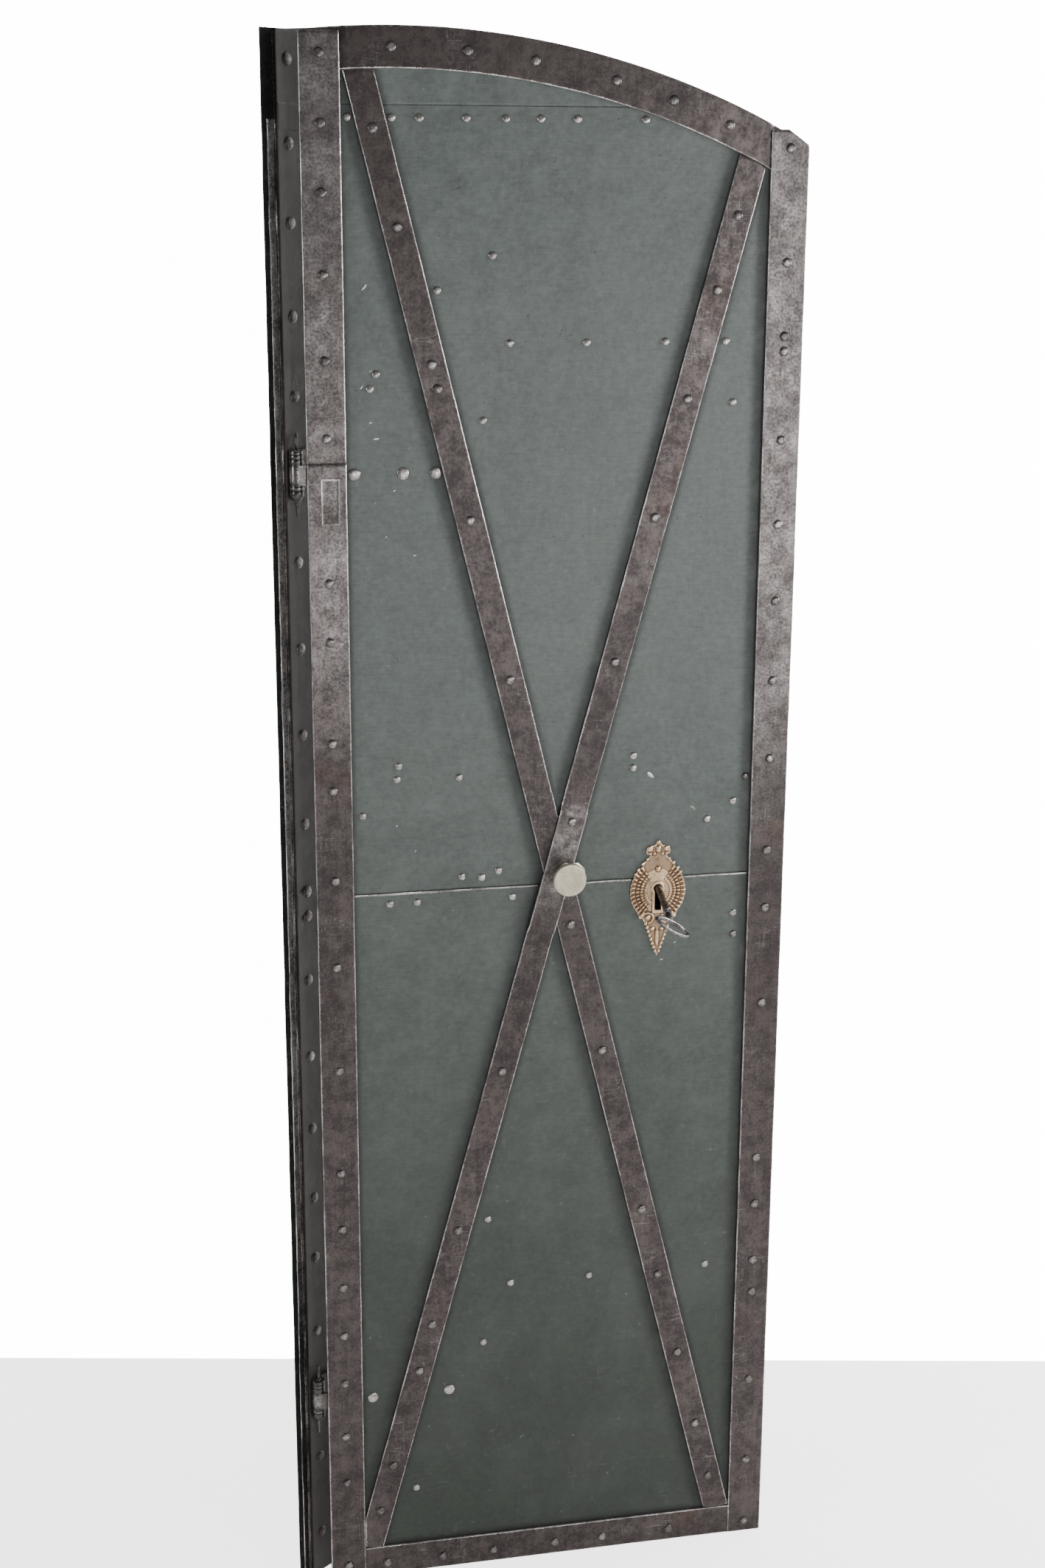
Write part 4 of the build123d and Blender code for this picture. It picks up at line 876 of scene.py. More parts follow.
@dataclass
class Finishes:
    """Every finish of the door, made once."""
    effects: Effects
    shape: DoorShape
    bars: Material = field(init=False)
    rear_bars: Material = field(init=False)
    rivets: Material = field(init=False)
    bright_rivets: Material = field(init=False)
    cover: Material = field(init=False)
    burr: Material = field(init=False)
    knuckles: Material = field(init=False)
    hinges: Material = field(init=False)
    hidden: Material = field(init=False)
    lock: Material = field(init=False)
    seam: Material = field(init=False)
    paint: dict[str, Material] = field(init=False)
    knob: Material = field(init=False)
    brass: Material = field(init=False)
    relief: Material = field(init=False)
    key: Material = field(init=False)

    def __post_init__(self) -> None:
        """Makes the materials."""
        effects = self.effects
        self.bars = ForgedIron("bar_iron").make(effects)
        self.rear_bars = ForgedIron("rear_bar_iron", dark=(0.018, 0.016, 0.016, 1.0),
                                    light=(0.050, 0.045, 0.044, 1.0), rust_cover=0.2).make(effects)
        self.rivets = ForgedIron("rivet_iron", dark=(0.048, 0.042, 0.040, 1.0),
                                 light=(0.16, 0.146, 0.140, 1.0), rust_cover=0.05, roughness=0.3,
                                 metallic=0.8, edge_width=1.6).make(effects)
        self.bright_rivets = ForgedIron("bright_rivet_iron", dark=(0.17, 0.16, 0.15, 1.0),
                                        light=(0.50, 0.48, 0.455, 1.0), rust_cover=0.02, roughness=0.27,
                                        metallic=0.85, edge_width=2.0).make(effects)
        self.cover = ForgedIron("cover_iron", dark=(0.004, 0.004, 0.004, 1.0),
                                light=(0.010, 0.010, 0.010, 1.0), rust_cover=0.02, edge_width=0.3,
                                roughness=0.72, metallic=0.0, specular=0.12).make(effects)
        self.burr = ForgedIron("burred_iron", dark=(0.05, 0.048, 0.046, 1.0), light=(0.34, 0.33, 0.32, 1.0),
                               rust_cover=0.02, roughness=0.34, metallic=0.8).make(effects)
        self.hinges = ForgedIron("hinge_iron", dark=(0.040, 0.036, 0.034, 1.0),
                                 light=(0.13, 0.12, 0.115, 1.0), roughness=0.3, metallic=0.8,
                                 marked=False).make(effects)
        self.knuckles = ForgedIron("knuckle_iron", dark=(0.040, 0.036, 0.035, 1.0),
                                   light=(0.105, 0.097, 0.093, 1.0), roughness=0.27, metallic=0.85,
                                   edge_width=0.5).make(effects)
        self.hidden = ForgedIron("inner_iron", marked=False).make(effects)
        self.lock = ForgedIron("lock_iron", dark=(0.025, 0.024, 0.024, 1.0), light=(0.07, 0.067, 0.065, 1.0),
                               rust_cover=0.2, marked=False).make(effects)
        self.seam = ForgedIron("seam_iron", dark=(0.16, 0.155, 0.145, 1.0), light=(0.66, 0.64, 0.60, 1.0),
                               rust_cover=0.02, roughness=0.32, metallic=0.8, marked=False).make(effects)
        self.paint = {leaf.name: PaintedSheet(f"{leaf.name}_sheet_paint", leaf, self.shape,
                                              margin).make(effects)
                      for leaf, margin in ((self.shape.front_leaf(), 0.0), (self.shape.rear_leaf(), 40.0))}
        self.knob = CastMetal("knob_metal", (0.42, 0.385, 0.285, 1.0), (0.64, 0.595, 0.47, 1.0), 0.33, 0.8,
                              0.00005, 0.2).make(effects)
        self.brass = CastMetal("old_brass", (0.10, 0.06, 0.036, 1.0), (0.42, 0.30, 0.20, 1.0), 0.36, 0.85,
                               0.00012, 0.35).make(effects)
        self.relief = CastMetal("old_brass_relief", (0.080, 0.040, 0.020, 1.0), (0.98, 0.72, 0.47, 1.0),
                                0.30, 0.85, 0.00008, 0.25, True).make(effects)
        self.key = CastMetal("key_steel", (0.055, 0.045, 0.045, 1.0), (0.30, 0.28, 0.28, 1.0), 0.25, 0.95,
                             0.0001, 0.4).make(effects)


Station = tuple[Place, Place]


@dataclass(frozen=True)
class Recess:
    """A shallow stamped field in a bar, in mm on its leaf."""
    left: float
    right: float
    low: float
    high: float
    depth: float
    slope: float = 0.8

    def inside(self, along: float, height: float) -> float:
        """Returns the distance to the nearest rim, less than zero outside it."""
        return min(along - self.left, self.right - along, height - self.low, self.high - height)

    @staticmethod
    def refine(places: Sequence[float], rims: Sequence[float]) -> list[float]:
        """Swaps the places beside each rim for four that follow its slope."""
        kept = [place for place in places if min(abs(place - rim) for rim in rims) > 1.2]
        return sorted(kept + [rim + shift for rim in rims for shift in (-0.8, -0.2, 0.4, 1.0)])


@dataclass
class ForgedBar:
    """A flat bar with eased, slightly uneven edges, swept through stations across it."""
    name: str
    leaf: LeafFrame
    stations: list[Station]
    thickness: float
    foot: float = 0.0
    rise: Optional[Callable[[float, float], float]] = None
    rivets: Sequence[Place] = ()
    corner: float = 0.9
    unevenness: float = 0.22
    ragged: float = 0.25
    seed: float = 0.0
    interior: int = 8
    recess: Optional[Recess] = None
    tone: Optional[Callable[[float, float], float]] = None
    wide_dent: float = 24.0
    small_dent: float = 8.0
    edge_wave: float = 45.0
    ring_depth: float = 0.38
    ring_radius: float = 8.5
    ring_width: float = 3.2

    def _nearest_rivet(self, along: float, height: float) -> float:
        """Returns the distance to the nearest rivet, in mm."""
        return min((math.hypot(along - a, height - h) for a, h in self.rivets), default=99.0)

    def _surface(self, along: float, height: float) -> tuple[float, float]:
        """Gives the front face's level at a place, with its hammer marks, and the rivet distance.

        Args:
            along: distance from the fold edge, in mm.
            height: height over the floor, in mm.

        Returns:
            The level and the distance, in mm.
        """
        level = self.foot + self.thickness + (self.rise(along, height) if self.rise else 0.0)
        level += self.unevenness * wobble(along, height, self.wide_dent, self.seed)
        level += self.unevenness * 0.45 * wobble(along, height, self.small_dent, self.seed + 7)
        if self.tone:
            level += 0.55 * max(0.0, self.tone(along, height)) * wobble(along, height, 5.5, self.seed + 9)
        away = self._nearest_rivet(along, height)
        if away < 18.0:
            ring = self.ring_depth * math.exp(-((away - self.ring_radius) / self.ring_width) ** 2)
            level -= ring * (0.65 + 0.5 * wobble(along, height, 6.0, self.seed))
        if self.recess:
            inside = self.recess.inside(along, height)
            level -= self.recess.depth * min(1.0, max(0.0, inside / self.recess.slope))
        return level, away

    def _section(self, shell: Shell, station: Station, end_gap: float) -> list[int]:
        """Adds one section across the bar and returns its points in order.

        Args:
            shell: the mesh that it joins.
            station: its two ends, left and right.
            end_gap: distance to the bar's nearer end, in mm.

        Returns:
            The points' numbers.
        """
        (la, lh), (ra, rh) = station
        width = math.hypot(ra - la, rh - lh)
        shift_left = self.ragged * wobble(la, lh, self.edge_wave, self.seed + 3)
        shift_right = self.ragged * wobble(ra, rh, self.edge_wave, self.seed + 5)
        ease = min(self.corner, width / 4)
        steps = [0.0, 0.3 * ease, ease, ease + min(1.3, width / 6)]
        middle = [steps[-1] + (width - 2 * steps[-1]) * (k + 1) / (self.interior + 1)
                  for k in range(self.interior)]
        if self.recess:
            middle = self.recess.refine(middle, (self.recess.left - la, self.recess.right - la))
        places = steps + middle + [width - s for s in reversed(steps)]
        drops = [ease, 0.3 * ease, 0.0, 0.0] + [0.0] * len(middle) + [0.0, 0.0, 0.3 * ease, ease]
        end_drop = max(0.0, self.corner - end_gap)
        row = [shell.add(self.leaf.point(la, lh, self._back(la, lh)), self.thickness)]
        for place, drop in zip(places, drops):
            share = place / width if width > 1e-6 else 0.5
            bend = shift_left * (1 - share) + shift_right * share
            along = la + (ra - la) * share
            height = lh + (rh - lh) * share
            level, away = self._surface(along, height)
            edge = min(place, width - place, end_gap + 1.4, self._from_recess(along, height))
            tone = self.tone(along, height) if self.tone else 0.0
            if width > 1e-6:
                along += bend * (ra - la) / width
                height += bend * (rh - lh) / width
            row.append(shell.add(self.leaf.point(along, height, level - max(drop, end_drop)), edge, away,
                                 tone))
        row.append(shell.add(self.leaf.point(ra, rh, self._back(ra, rh)), self.thickness))
        for share in (0.8, 0.2):
            along, height = la + (ra - la) * share, lh + (rh - lh) * share
            row.append(shell.add(self.leaf.point(along, height, self._back(along, height)), 8.0))
        return row

    def _back(self, along: float, height: float) -> float:
        """The level of the bar's back at a place."""
        return self.foot

    def _from_recess(self, along: float, height: float) -> float:
        """Distance to the rim of the stamped recess, in mm, or far where there is none.

        Args:
            along: distance from the fold edge, in mm.
            height: height over the floor, in mm.

        Returns:
            The distance.
        """
        if not self.recess:
            return 20.0
        inside = self.recess.inside(along, height)
        return abs(inside) + 0.35 if inside > -1.5 else 20.0

    def build(self, material: Material) -> Object:
        """Makes the bar's mesh object in a finish.

        Args:
            material: its finish.

        Returns:
            The new object.
        """
        shell = Shell()
        runs = [0.0]
        for (first, _), (second, _) in zip(self.stations, self.stations[1:]):
            runs.append(runs[-1] + math.hypot(second[0] - first[0], second[1] - first[1]))
        rows = [self._section(shell, station, min(run, runs[-1] - run))
                for station, run in zip(self.stations, runs)]
        shell.join(rows)
        shell.cap(rows)
        return shell.build(self.name, material, 55.0)


class SteppedBar(ForgedBar):
    """A bar whose back follows the step of its front."""

    def _back(self, along: float, height: float) -> float:
        """The level of the bar's back at a place."""
        return self.foot + self.rise(along, height)


def spread(start: float, stop: float, step: float, ease: float = 0.9) -> list[float]:
    """Places from start to stop, evenly spaced with one close to each end.

    Args:
        start: the first place.
        stop: the last place.
        step: about how far apart they are.
        ease: distance from each end to its neighbour.

    Returns:
        The places in order.
    """
    count = max(2, round((stop - start) / step))
    inner = [start + (stop - start) * k / count for k in range(1, count)]
    return [start, start + ease, *inner, stop - ease, stop]


def clip_stations(ends: tuple[Place, Place], half_width: float, inside: Callable[[Place], bool],
                  step: float, spare: float = 60.0, samples: int = 60) -> list[Station]:
    """Sections across a straight bar, kept to the part of each that lies inside a field.

    Args:
        ends: the bar's two ends.
        half_width: half its width.
        inside: says whether a place lies in the field.
        step: distance between sections.
        spare: how far past each end it looks, in mm.
        samples: places tried on each side of the middle.

    Returns:
        The stations from the first end to the second.
    """
    (ax, ay), (bx, by) = ends
    length = math.hypot(bx - ax, by - ay)
    way = ((bx - ax) / length, (by - ay) / length)
    side = (-way[1], way[0])
    stations = []
    for run in spread(-spare, length + spare, step):
        centre = (ax + way[0] * run, ay + way[1] * run)
        kept = [s for s in (half_width * (k / samples) for k in range(-samples, samples + 1))
                if inside((centre[0] + side[0] * s, centre[1] + side[1] * s))]
        if len(kept) > 2:
            stations.append(tuple((centre[0] + side[0] * s, centre[1] + side[1] * s)
                                  for s in (kept[-1], kept[0])))
    return stations


@dataclass(frozen=True)
class Rivet:
    """One rivet as the CAD has it, in mm on its leaf."""
    along: float
    height: float
    head_level: float
    top: float
    head_radius: float
    tail_level: float
    foot: float
    tail_radius: float


def read_rivets(node: Object, leaf: LeafFrame, shank: float) -> list[Rivet]:
    """Reads the rivets of a CAD node, one from each separate solid.

    Args:
        node: the CAD node's object.
        leaf: the leaf that they are in.
        shank: the shank's radius, in mm.

    Returns:
        The rivets.
    """
    form = bmesh.new()
    form.from_mesh(node.data)
    bmesh.ops.remove_doubles(form, verts=form.verts, dist=2e-6)
    left = set(form.verts)
    found = []
    while left:
        stack = [left.pop()]
        island = []
        while stack:
            spot = stack.pop()
            island.append(leaf.read(spot.co))
            for line in spot.link_edges:
                other = line.other_vert(spot)
                if other in left:
                    left.remove(other)
                    stack.append(other)
        found.append(measure_rivet(island, shank))
    form.free()
    return sorted(found, key=lambda r: (r.height, r.along))


def measure_rivet(island: Sequence[Triple], shank: float) -> Rivet:
    """Works out one rivet's place, levels and radii from its points.

    Args:
        island: distance along, height and level of each point, in mm.
        shank: the shank's radius, in mm.

    Returns:
        The rivet.
    """
    alongs, heights, levels = zip(*island)
    along = (min(alongs) + max(alongs)) / 2
    height = (min(heights) + max(heights)) / 2
    middle = (min(levels) + max(levels)) / 2
    wide = [(math.hypot(a - along, h - height), level) for a, h, level in island]
    broad = [(r, level) for r, level in wide if r > shank * 1.2]
    head = [(r, level) for r, level in broad if level > middle]
    tail = [(r, level) for r, level in broad if level < middle]
    return Rivet(along, height, min(level for _, level in head), max(levels), max(r for r, _ in head),
                 max((level for _, level in tail), default=min(levels)), min(levels),
                 max((r for r, _ in tail), default=0.0))


@dataclass
class RivetSet:
    """Hand-set rivets: uneven domes outside and flatter spread tails inside."""
    name: str
    leaf: LeafFrame
    rivets: Sequence[Rivet]
    sides: int = 18
    unevenness: float = 0.08

    def _dome(self, shell: Shell, rivet: Rivet, level: float, reach: float, radius: float,
              tail: bool) -> None:
        """Adds one end of a rivet, from the face that it sits on.

        Args:
            shell: the mesh that it joins.
            rivet: the rivet.
            level: the face's level, in mm.
            reach: how far it stands out, less than zero inwards.
            radius: its radius, in mm.
            tail: whether it is the inner end.
        """
        seed = rivet.along * 0.37 + rivet.height * 0.91 + (11.0 if tail else 0.0)
        lean = 2 * math.pi * (0.5 + 0.5 * noise.noise(Vector((seed, 0.3, 0.7))))
        flat = 0.84 + 0.14 * noise.noise(Vector((seed, 3.1, 1.7)))
        rubbed = 0.55 + 0.45 * noise.noise(Vector((seed * 1.7, 9.2, 4.4)))
        profile = ((1.0, -0.08), (1.0, 0.22), (0.92, 0.55), (0.76, 0.8), (0.5, 0.94), (0.22, 1.0), (0.0, 1.0))
        rows: list[list[int]] = []
        for share, rise in profile:
            row = []
            for angle in turns(self.sides if share else 1):
                where = Vector((math.cos(angle) * 1.3, math.sin(angle) * 1.3, seed))
                bend = 1.0 + self.unevenness * noise.noise(where)
                tilt = 1.0 - 0.22 * share * math.cos(angle - lean) * max(0.0, rise)
                lift = min(rise * flat * tilt, 1.0) * reach
                spot = self.leaf.point(rivet.along + math.cos(angle) * radius * share * bend,
                                       rivet.height + math.sin(angle) * radius * share * bend, level + lift)
                # Painted highlight on the crown, its strength different for each rivet, and painted shade
                # round the foot
                tone = rubbed * max(0.0, rise) ** 4 - 1.1 * max(0.0, 0.6 - rise)
                row.append(shell.add(spot, 20.0, tone=tone))
            rows.append(row)
        shell.join(rows)

    def build(self, material: Material) -> Object:
        """Makes all the rivets as one object in a finish.

        Args:
            material: its finish.

        Returns:
            The new object.
        """
        shell = Shell()
        for rivet in self.rivets:
            self._dome(shell, rivet, rivet.head_level, rivet.top - rivet.head_level, rivet.head_radius, False)
            if rivet.tail_radius > 0:
                self._dome(shell, rivet, rivet.tail_level, rivet.foot - rivet.tail_level, rivet.tail_radius,
                           True)
        return shell.build(self.name, material, 60.0)


@dataclass
class LeafBuilder:
    """Dresses one leaf: its bars, braces, sheets and rivets."""
    shape: DoorShape
    leaf: LeafFrame
    nodes: dict
    finishes: Finishes
    bar_finish: Material
    rivet_places: list[Place] = field(default_factory=list)

    def in_panel(self, place: Place) -> bool:
        """Says whether a place lies in the field inside the frame bars.

        Args:
            place: the place, in mm.

        Returns:
            True inside it.
        """
        edge = self.shape.frame_width + self.shape.brace_gap
        along, height = place
        if not edge <= along <= self.shape.leaf_width - edge:
            return False
        return self.shape.sill_height + self.shape.brace_gap <= height <= self.shape.arch_height(along, edge)

    def dress_rivets(self) -> None:
        """Replaces every group of rivets on this leaf."""
        for name in sorted(self.nodes):
            node = self.nodes[name]
            if not name.endswith("_rivets") or node["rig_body"] != self.leaf.body:
                continue
            rivets = read_rivets(node, self.leaf, self.shape.rivet_shank)
            self.rivet_places += [(r.along, r.height) for r in rivets]
            bright = name in ("front_strap_rivets", "front_field_rivets", "front_hinge_rivets",
                              "front_seam_rivets")
            finish = self.finishes.bright_rivets if bright else self.finishes.rivets
            piece = RivetSet(f"{name}_hammered", self.leaf, rivets).build(finish)
            settle(piece, self.leaf.body, "rivet_iron", name)

    def _bar(self, node: str, stations: list[Station], thickness: float, seed: float,
             **options: object) -> None:
        """Builds one forged bar in place of its CAD node.

        Args:
            node: the CAD node that it stands for.
            stations: the sections across it.
            thickness: in mm.
            seed: picks the noise.
            options: more of the bar's fields.
        """
        low = min(min(a[1], b[1]) for a, b in stations) - 12
        high = max(max(a[1], b[1]) for a, b in stations) + 12
        near = [spot for spot in self.rivet_places if low < spot[1] < high and self._close(spot, stations)]
        bar = ForgedBar(f"{node}_forged", self.leaf, stations, thickness, rivets=near, seed=seed, **options)
        settle(bar.build(self.bar_finish), self.leaf.body, "bar_iron", node)

    @staticmethod
    def _close(spot: Place, stations: Sequence[Station]) -> bool:
        """Says whether a place lies on or beside a bar."""
        return any(math.hypot(spot[0] - (a[0] + b[0]) / 2, spot[1] - (a[1] + b[1]) / 2)
                   < math.hypot(a[0] - b[0], a[1] - b[1]) / 2 + 6 for a, b in stations)

    def upright(self, node: str, left: float, right: float, foot: float, top: float, seed: float,
                thickness: float, **options: object) -> None:
        """Builds a straight upright bar.

        Args:
            node: the CAD node that it stands for.
            left: its edge nearer the fold, in mm.
            right: its other edge.
            foot: its lowest height.
            top: its highest height.
            seed: picks the noise.
            thickness: in mm.
            options: more of the bar's fields.
        """
        heights = spread(foot, top, self.shape.section_step)
        if "recess" in options:
            recess = options["recess"]
            heights = recess.refine(heights, (recess.low, recess.high))
        stations = [((left, z), (right, z)) for z in heights]
        self._bar(node, stations, thickness, seed, **options)

    def far_stile(self, node: str, seed: float, **options: object) -> None:
        """Builds the stile at the far edge, with its top cut along the arch.

        Args:
            node: the CAD node that it stands for.
            seed: picks the noise.
            options: more of the bar's fields.
        """
        shape = self.shape
        inner = shape.leaf_width - shape.frame_width
        edge_top = shape.arch_height(shape.leaf_width)
        shoulder_top = shape.arch_height(shape.leaf_width - shape.stile_chamfer) + 4.0
        stations = []
        for z in spread(0.0, shoulder_top, shape.section_step):
            cut = max(0.0, (z - edge_top) / (shoulder_top - edge_top)) * shape.stile_chamfer
            stations.append(((inner, z), (shape.leaf_width - cut, z)))
        self._bar(node, stations, shape.stile_thickness, seed, **options)

    def arch_bar(self, node: str, seed: float, pieces: int = 150) -> None:
        """Builds the curved top bar, thin where it passes under the stiles.

        Args:
            node: the CAD node that it stands for.
            seed: picks the noise.
            pieces: stretches between its sections.
        """
        shape = self.shape
        centre_a, centre_h = shape.arch_centre
        first, last = shape.end_gap, shape.leaf_width - shape.end_gap
        start, stop = (math.acos((end - centre_a) / shape.arch_radius) for end in (first, last))
        stations = []
        for k in range(pieces + 1):
            angle = start + (stop - start) * k / pieces
            outer, inner = ((centre_a + reach * math.cos(angle), centre_h + reach * math.sin(angle))
                            for reach in (shape.arch_radius, shape.arch_radius - shape.frame_width))
            if not first <= inner[0] <= last:
                along = min(max(inner[0], first), last)
                inner = (along, shape.arch_height(along, shape.frame_width))
            stations.append((outer, inner))
        self._bar(node, stations, shape.rail_thickness, seed, rise=self._tongue)

    def sill_bar(self, node: str, seed: float) -> None:
        """Builds the bottom bar.

        Args:
            node: the CAD node that it stands for.
            seed: picks the noise.
        """
        shape = self.shape
        places = spread(shape.end_gap, shape.leaf_width - shape.end_gap, shape.section_step)
        stations = [((u, shape.sill_height), (u, 0.0)) for u in places]
        self._bar(node, stations, shape.rail_thickness, seed, rise=self._tongue)

    def _tongue(self, along: float, height: float) -> float:
        """How far a rail's face lies back under the stiles.

        Args:
            along: distance from the fold edge, in mm.
            height: not used.

        Returns:
            What is added to the face's level, in mm.
        """
        edge = self.shape.frame_width + self.shape.joint_gap
        hidden = along < edge or along > self.shape.leaf_width - edge
        return self.shape.corner_tongue - self.shape.rail_thickness - 0.5 if hidden else 0.0

    def _step(self, along: float, height: float) -> float:
        """How far the upper brace stands out over the other one at a place.

        Args:
            along: distance from the fold edge, in mm.
            height: height over the floor, in mm.

        Returns:
            What is added to the face's level, in mm.
        """
        cross = self.shape.crossing()
        (ax, ay), (bx, by) = self.shape.over_brace()
        length = math.hypot(bx - ax, by - ay)
        away = abs(((along - cross[0]) * (bx - ax) + (height - cross[1]) * (by - ay)) / length)
        share = (away - self.shape.crossing_flat) / self.shape.crossing_ramp
        share = min(1.0, max(0.0, share))
        return self.shape.brace_thickness * (1 - share * share * (3 - 2 * share))

    def _hammered(self, along: float, height: float) -> float:
        """How much the upper brace is beaten and rubbed at a place near the crossing.

        Args:
            along: distance from the fold edge, in mm.
            height: height over the floor, in mm.

        Returns:
            The tone.
        """
        cross = self.shape.crossing()
        away = math.hypot(along - cross[0], height - cross[1] - 16.0)
        patch = 0.75 + 0.6 * wobble(along, height, 9.0, 21.0)
        return 0.5 * max(0.0, min(1.0, (88.0 - away) / 60.0)) * patch

    def braces(self, seed: float) -> None:
        """Builds both braces.

        Args:
            seed: picks the noise.
        """
        shape = self.shape
        half = shape.brace_width / 2
        under = clip_stations(shape.under_brace, half, self.in_panel, shape.section_step)
        self._bar(f"{self.leaf.name}_under_brace", under, shape.brace_thickness, seed)
        over = clip_stations(shape.over_brace(), half, self.in_panel, 2.4)
        node = f"{self.leaf.name}_over_brace"
        near = [spot for spot in self.rivet_places if self._close(spot, over)]
        bar = SteppedBar(f"{node}_forged", self.leaf, over, shape.brace_thickness, rivets=near, seed=seed + 2,
                         rise=self._step, tone=self._hammered, interior=11)
        settle(bar.build(self.bar_finish), self.leaf.body, "bar_iron", node)

    def seam_lip(self, seed: float) -> None:
        """Builds the ragged bare lip along the lower seam, broken by the braces and the keyhole plate.

        Args:
            seed: picks the noise.
        """
        shape = self.shape
        height = shape.seam_height
        plate = shape.lock_place[0]
        breaks = [(plate - shape.lock_plate_half, plate + shape.lock_plate_half)]
        for (ax, ay), (bx, by) in (shape.under_brace, shape.over_brace()):
            middle = ax + (height - ay) * (bx - ax) / (by - ay)
            half = shape.brace_width / 2 * math.hypot(bx - ax, by - ay) / abs(by - ay)
            breaks.append((middle - half, middle + half))
        start, edge = shape.frame_width + 1.0, shape.leaf_width - shape.frame_width - 1.0
        count = 0
        for low, high in [*sorted(breaks), (edge, edge)]:
            if low - start > 6.0:
                stations = [((u, height + 0.6), (u, height - 1.5)) for u in spread(start, low, 1.6, 0.4)]
                lip = ForgedBar(f"{self.leaf.name}_seam_lip_{count}", self.leaf, stations, 0.55, corner=0.35,
                                unevenness=0.25, ragged=1.1, seed=seed, interior=1)
                finish = self.finishes.seam if count else self.finishes.rivets
                settle(lip.build(finish), self.leaf.body, "sheet_paint")
                count += 1
            start = max(start, high)

    def paint_sheets(self) -> None:
        """Gives the sheets their paint."""
        for name in (f"{self.leaf.name}_{part}_sheet" for part in ("top", "middle", "bottom")):
            dress_node(self.nodes[name], self.finishes.paint[self.leaf.name])


def dress_node(node: Object, material: Material) -> None:
    """Gives a CAD node one finish and logs it.

    Args:
        node: the CAD node.
        material: its finish.
    """
    if not node.data.materials:
        node.data.materials.append(material)
    for index in range(len(node.data.materials)):
        node.data.materials[index] = material
    log.info("%s: CAD shape in %s", node.name, material.name)


@dataclass
class KnobSet:
    """The pull knob at the crossing, with its rose."""
    leaf: LeafFrame
    spot: Place
    seat: float = 8.0
    rose_thickness: float = 1.5
    reach: float = 28.0
    disc_radius: float = 20.0
    disc_thickness: float = 6.0
    stem_radius: float = 6.0
    base_radius: float = 10.0
    shank_radius: float = 4.0
    shank_foot: float = -11.5
    rose_half: float = 17.0
    rose_shift: float = 7.0
    rose_drop: float = 5.0

    def build(self, finishes: Finishes) -> None:
        """Builds the knob and its rose.

        Args:
            finishes: every finish of the door.
        """
        shell = Shell()
        base = self.seat + self.rose_thickness
        top = base + self.reach
        foot = top - self.disc_thickness
        disc = self.disc_radius
        profile = [(0.0, self.shank_foot), (3.4, self.shank_foot),
                   (self.shank_radius, self.shank_foot + 0.7), (self.shank_radius, base - 0.1),
                   (self.base_radius, base), (self.base_radius, base + 1.2),
                   (self.base_radius - 0.8, base + 2.2), (self.stem_radius + 1.4, base + 3.2),
                   (self.stem_radius, base + 6.0), (self.stem_radius - 0.6, base + 12.0),
                   (self.stem_radius, foot - 3.0), (self.stem_radius + 2.4, foot - 0.9),
                   (disc * 0.55, foot), (disc - 1.6, foot + 0.1), (disc - 0.5, foot + 0.6),
                   (disc, foot + 1.8), (disc, top - 1.8), (disc - 0.4, top - 0.7), (disc - 1.4, top - 0.1),
                   (disc - 2.2, top), (disc * 0.6, top + 0.15), (0.0, top + 0.2)]
        shell.lathe(self.leaf.frame(*self.spot, 0.0), profile, 64)
        settle(shell.build("pull_knob_turned", finishes.knob, 35.0), self.leaf.body, "knob_metal",
               "pull_knob")
        plate = Shell()
        centre = (self.spot[0] + self.rose_shift, self.spot[1] - self.rose_drop)
        rings = ((1.0, 0.0), (1.0, 0.7), (0.93, 1.15), (0.84, 1.3), (0.45, 1.5), (0.0, 1.5))
        profile = [(self.rose_half * share, self.seat + level) for share, level in rings]
        plate.lathe(self.leaf.frame(*centre, 0.0), profile, 72, self._lobes)
        settle(plate.build("knob_rose_stamped", finishes.knob, 35.0), self.leaf.body, "knob_metal",
               "knob_rose")

    @staticmethod
    def _lobes(angle: float, radius: float) -> float:
        """Outline of the rose: a square with four round lobes."""
        fold = abs(math.sin(2 * angle))
        return 0.93 + 0.22 * fold ** 0.8 - 0.03 * math.cos(8 * angle)


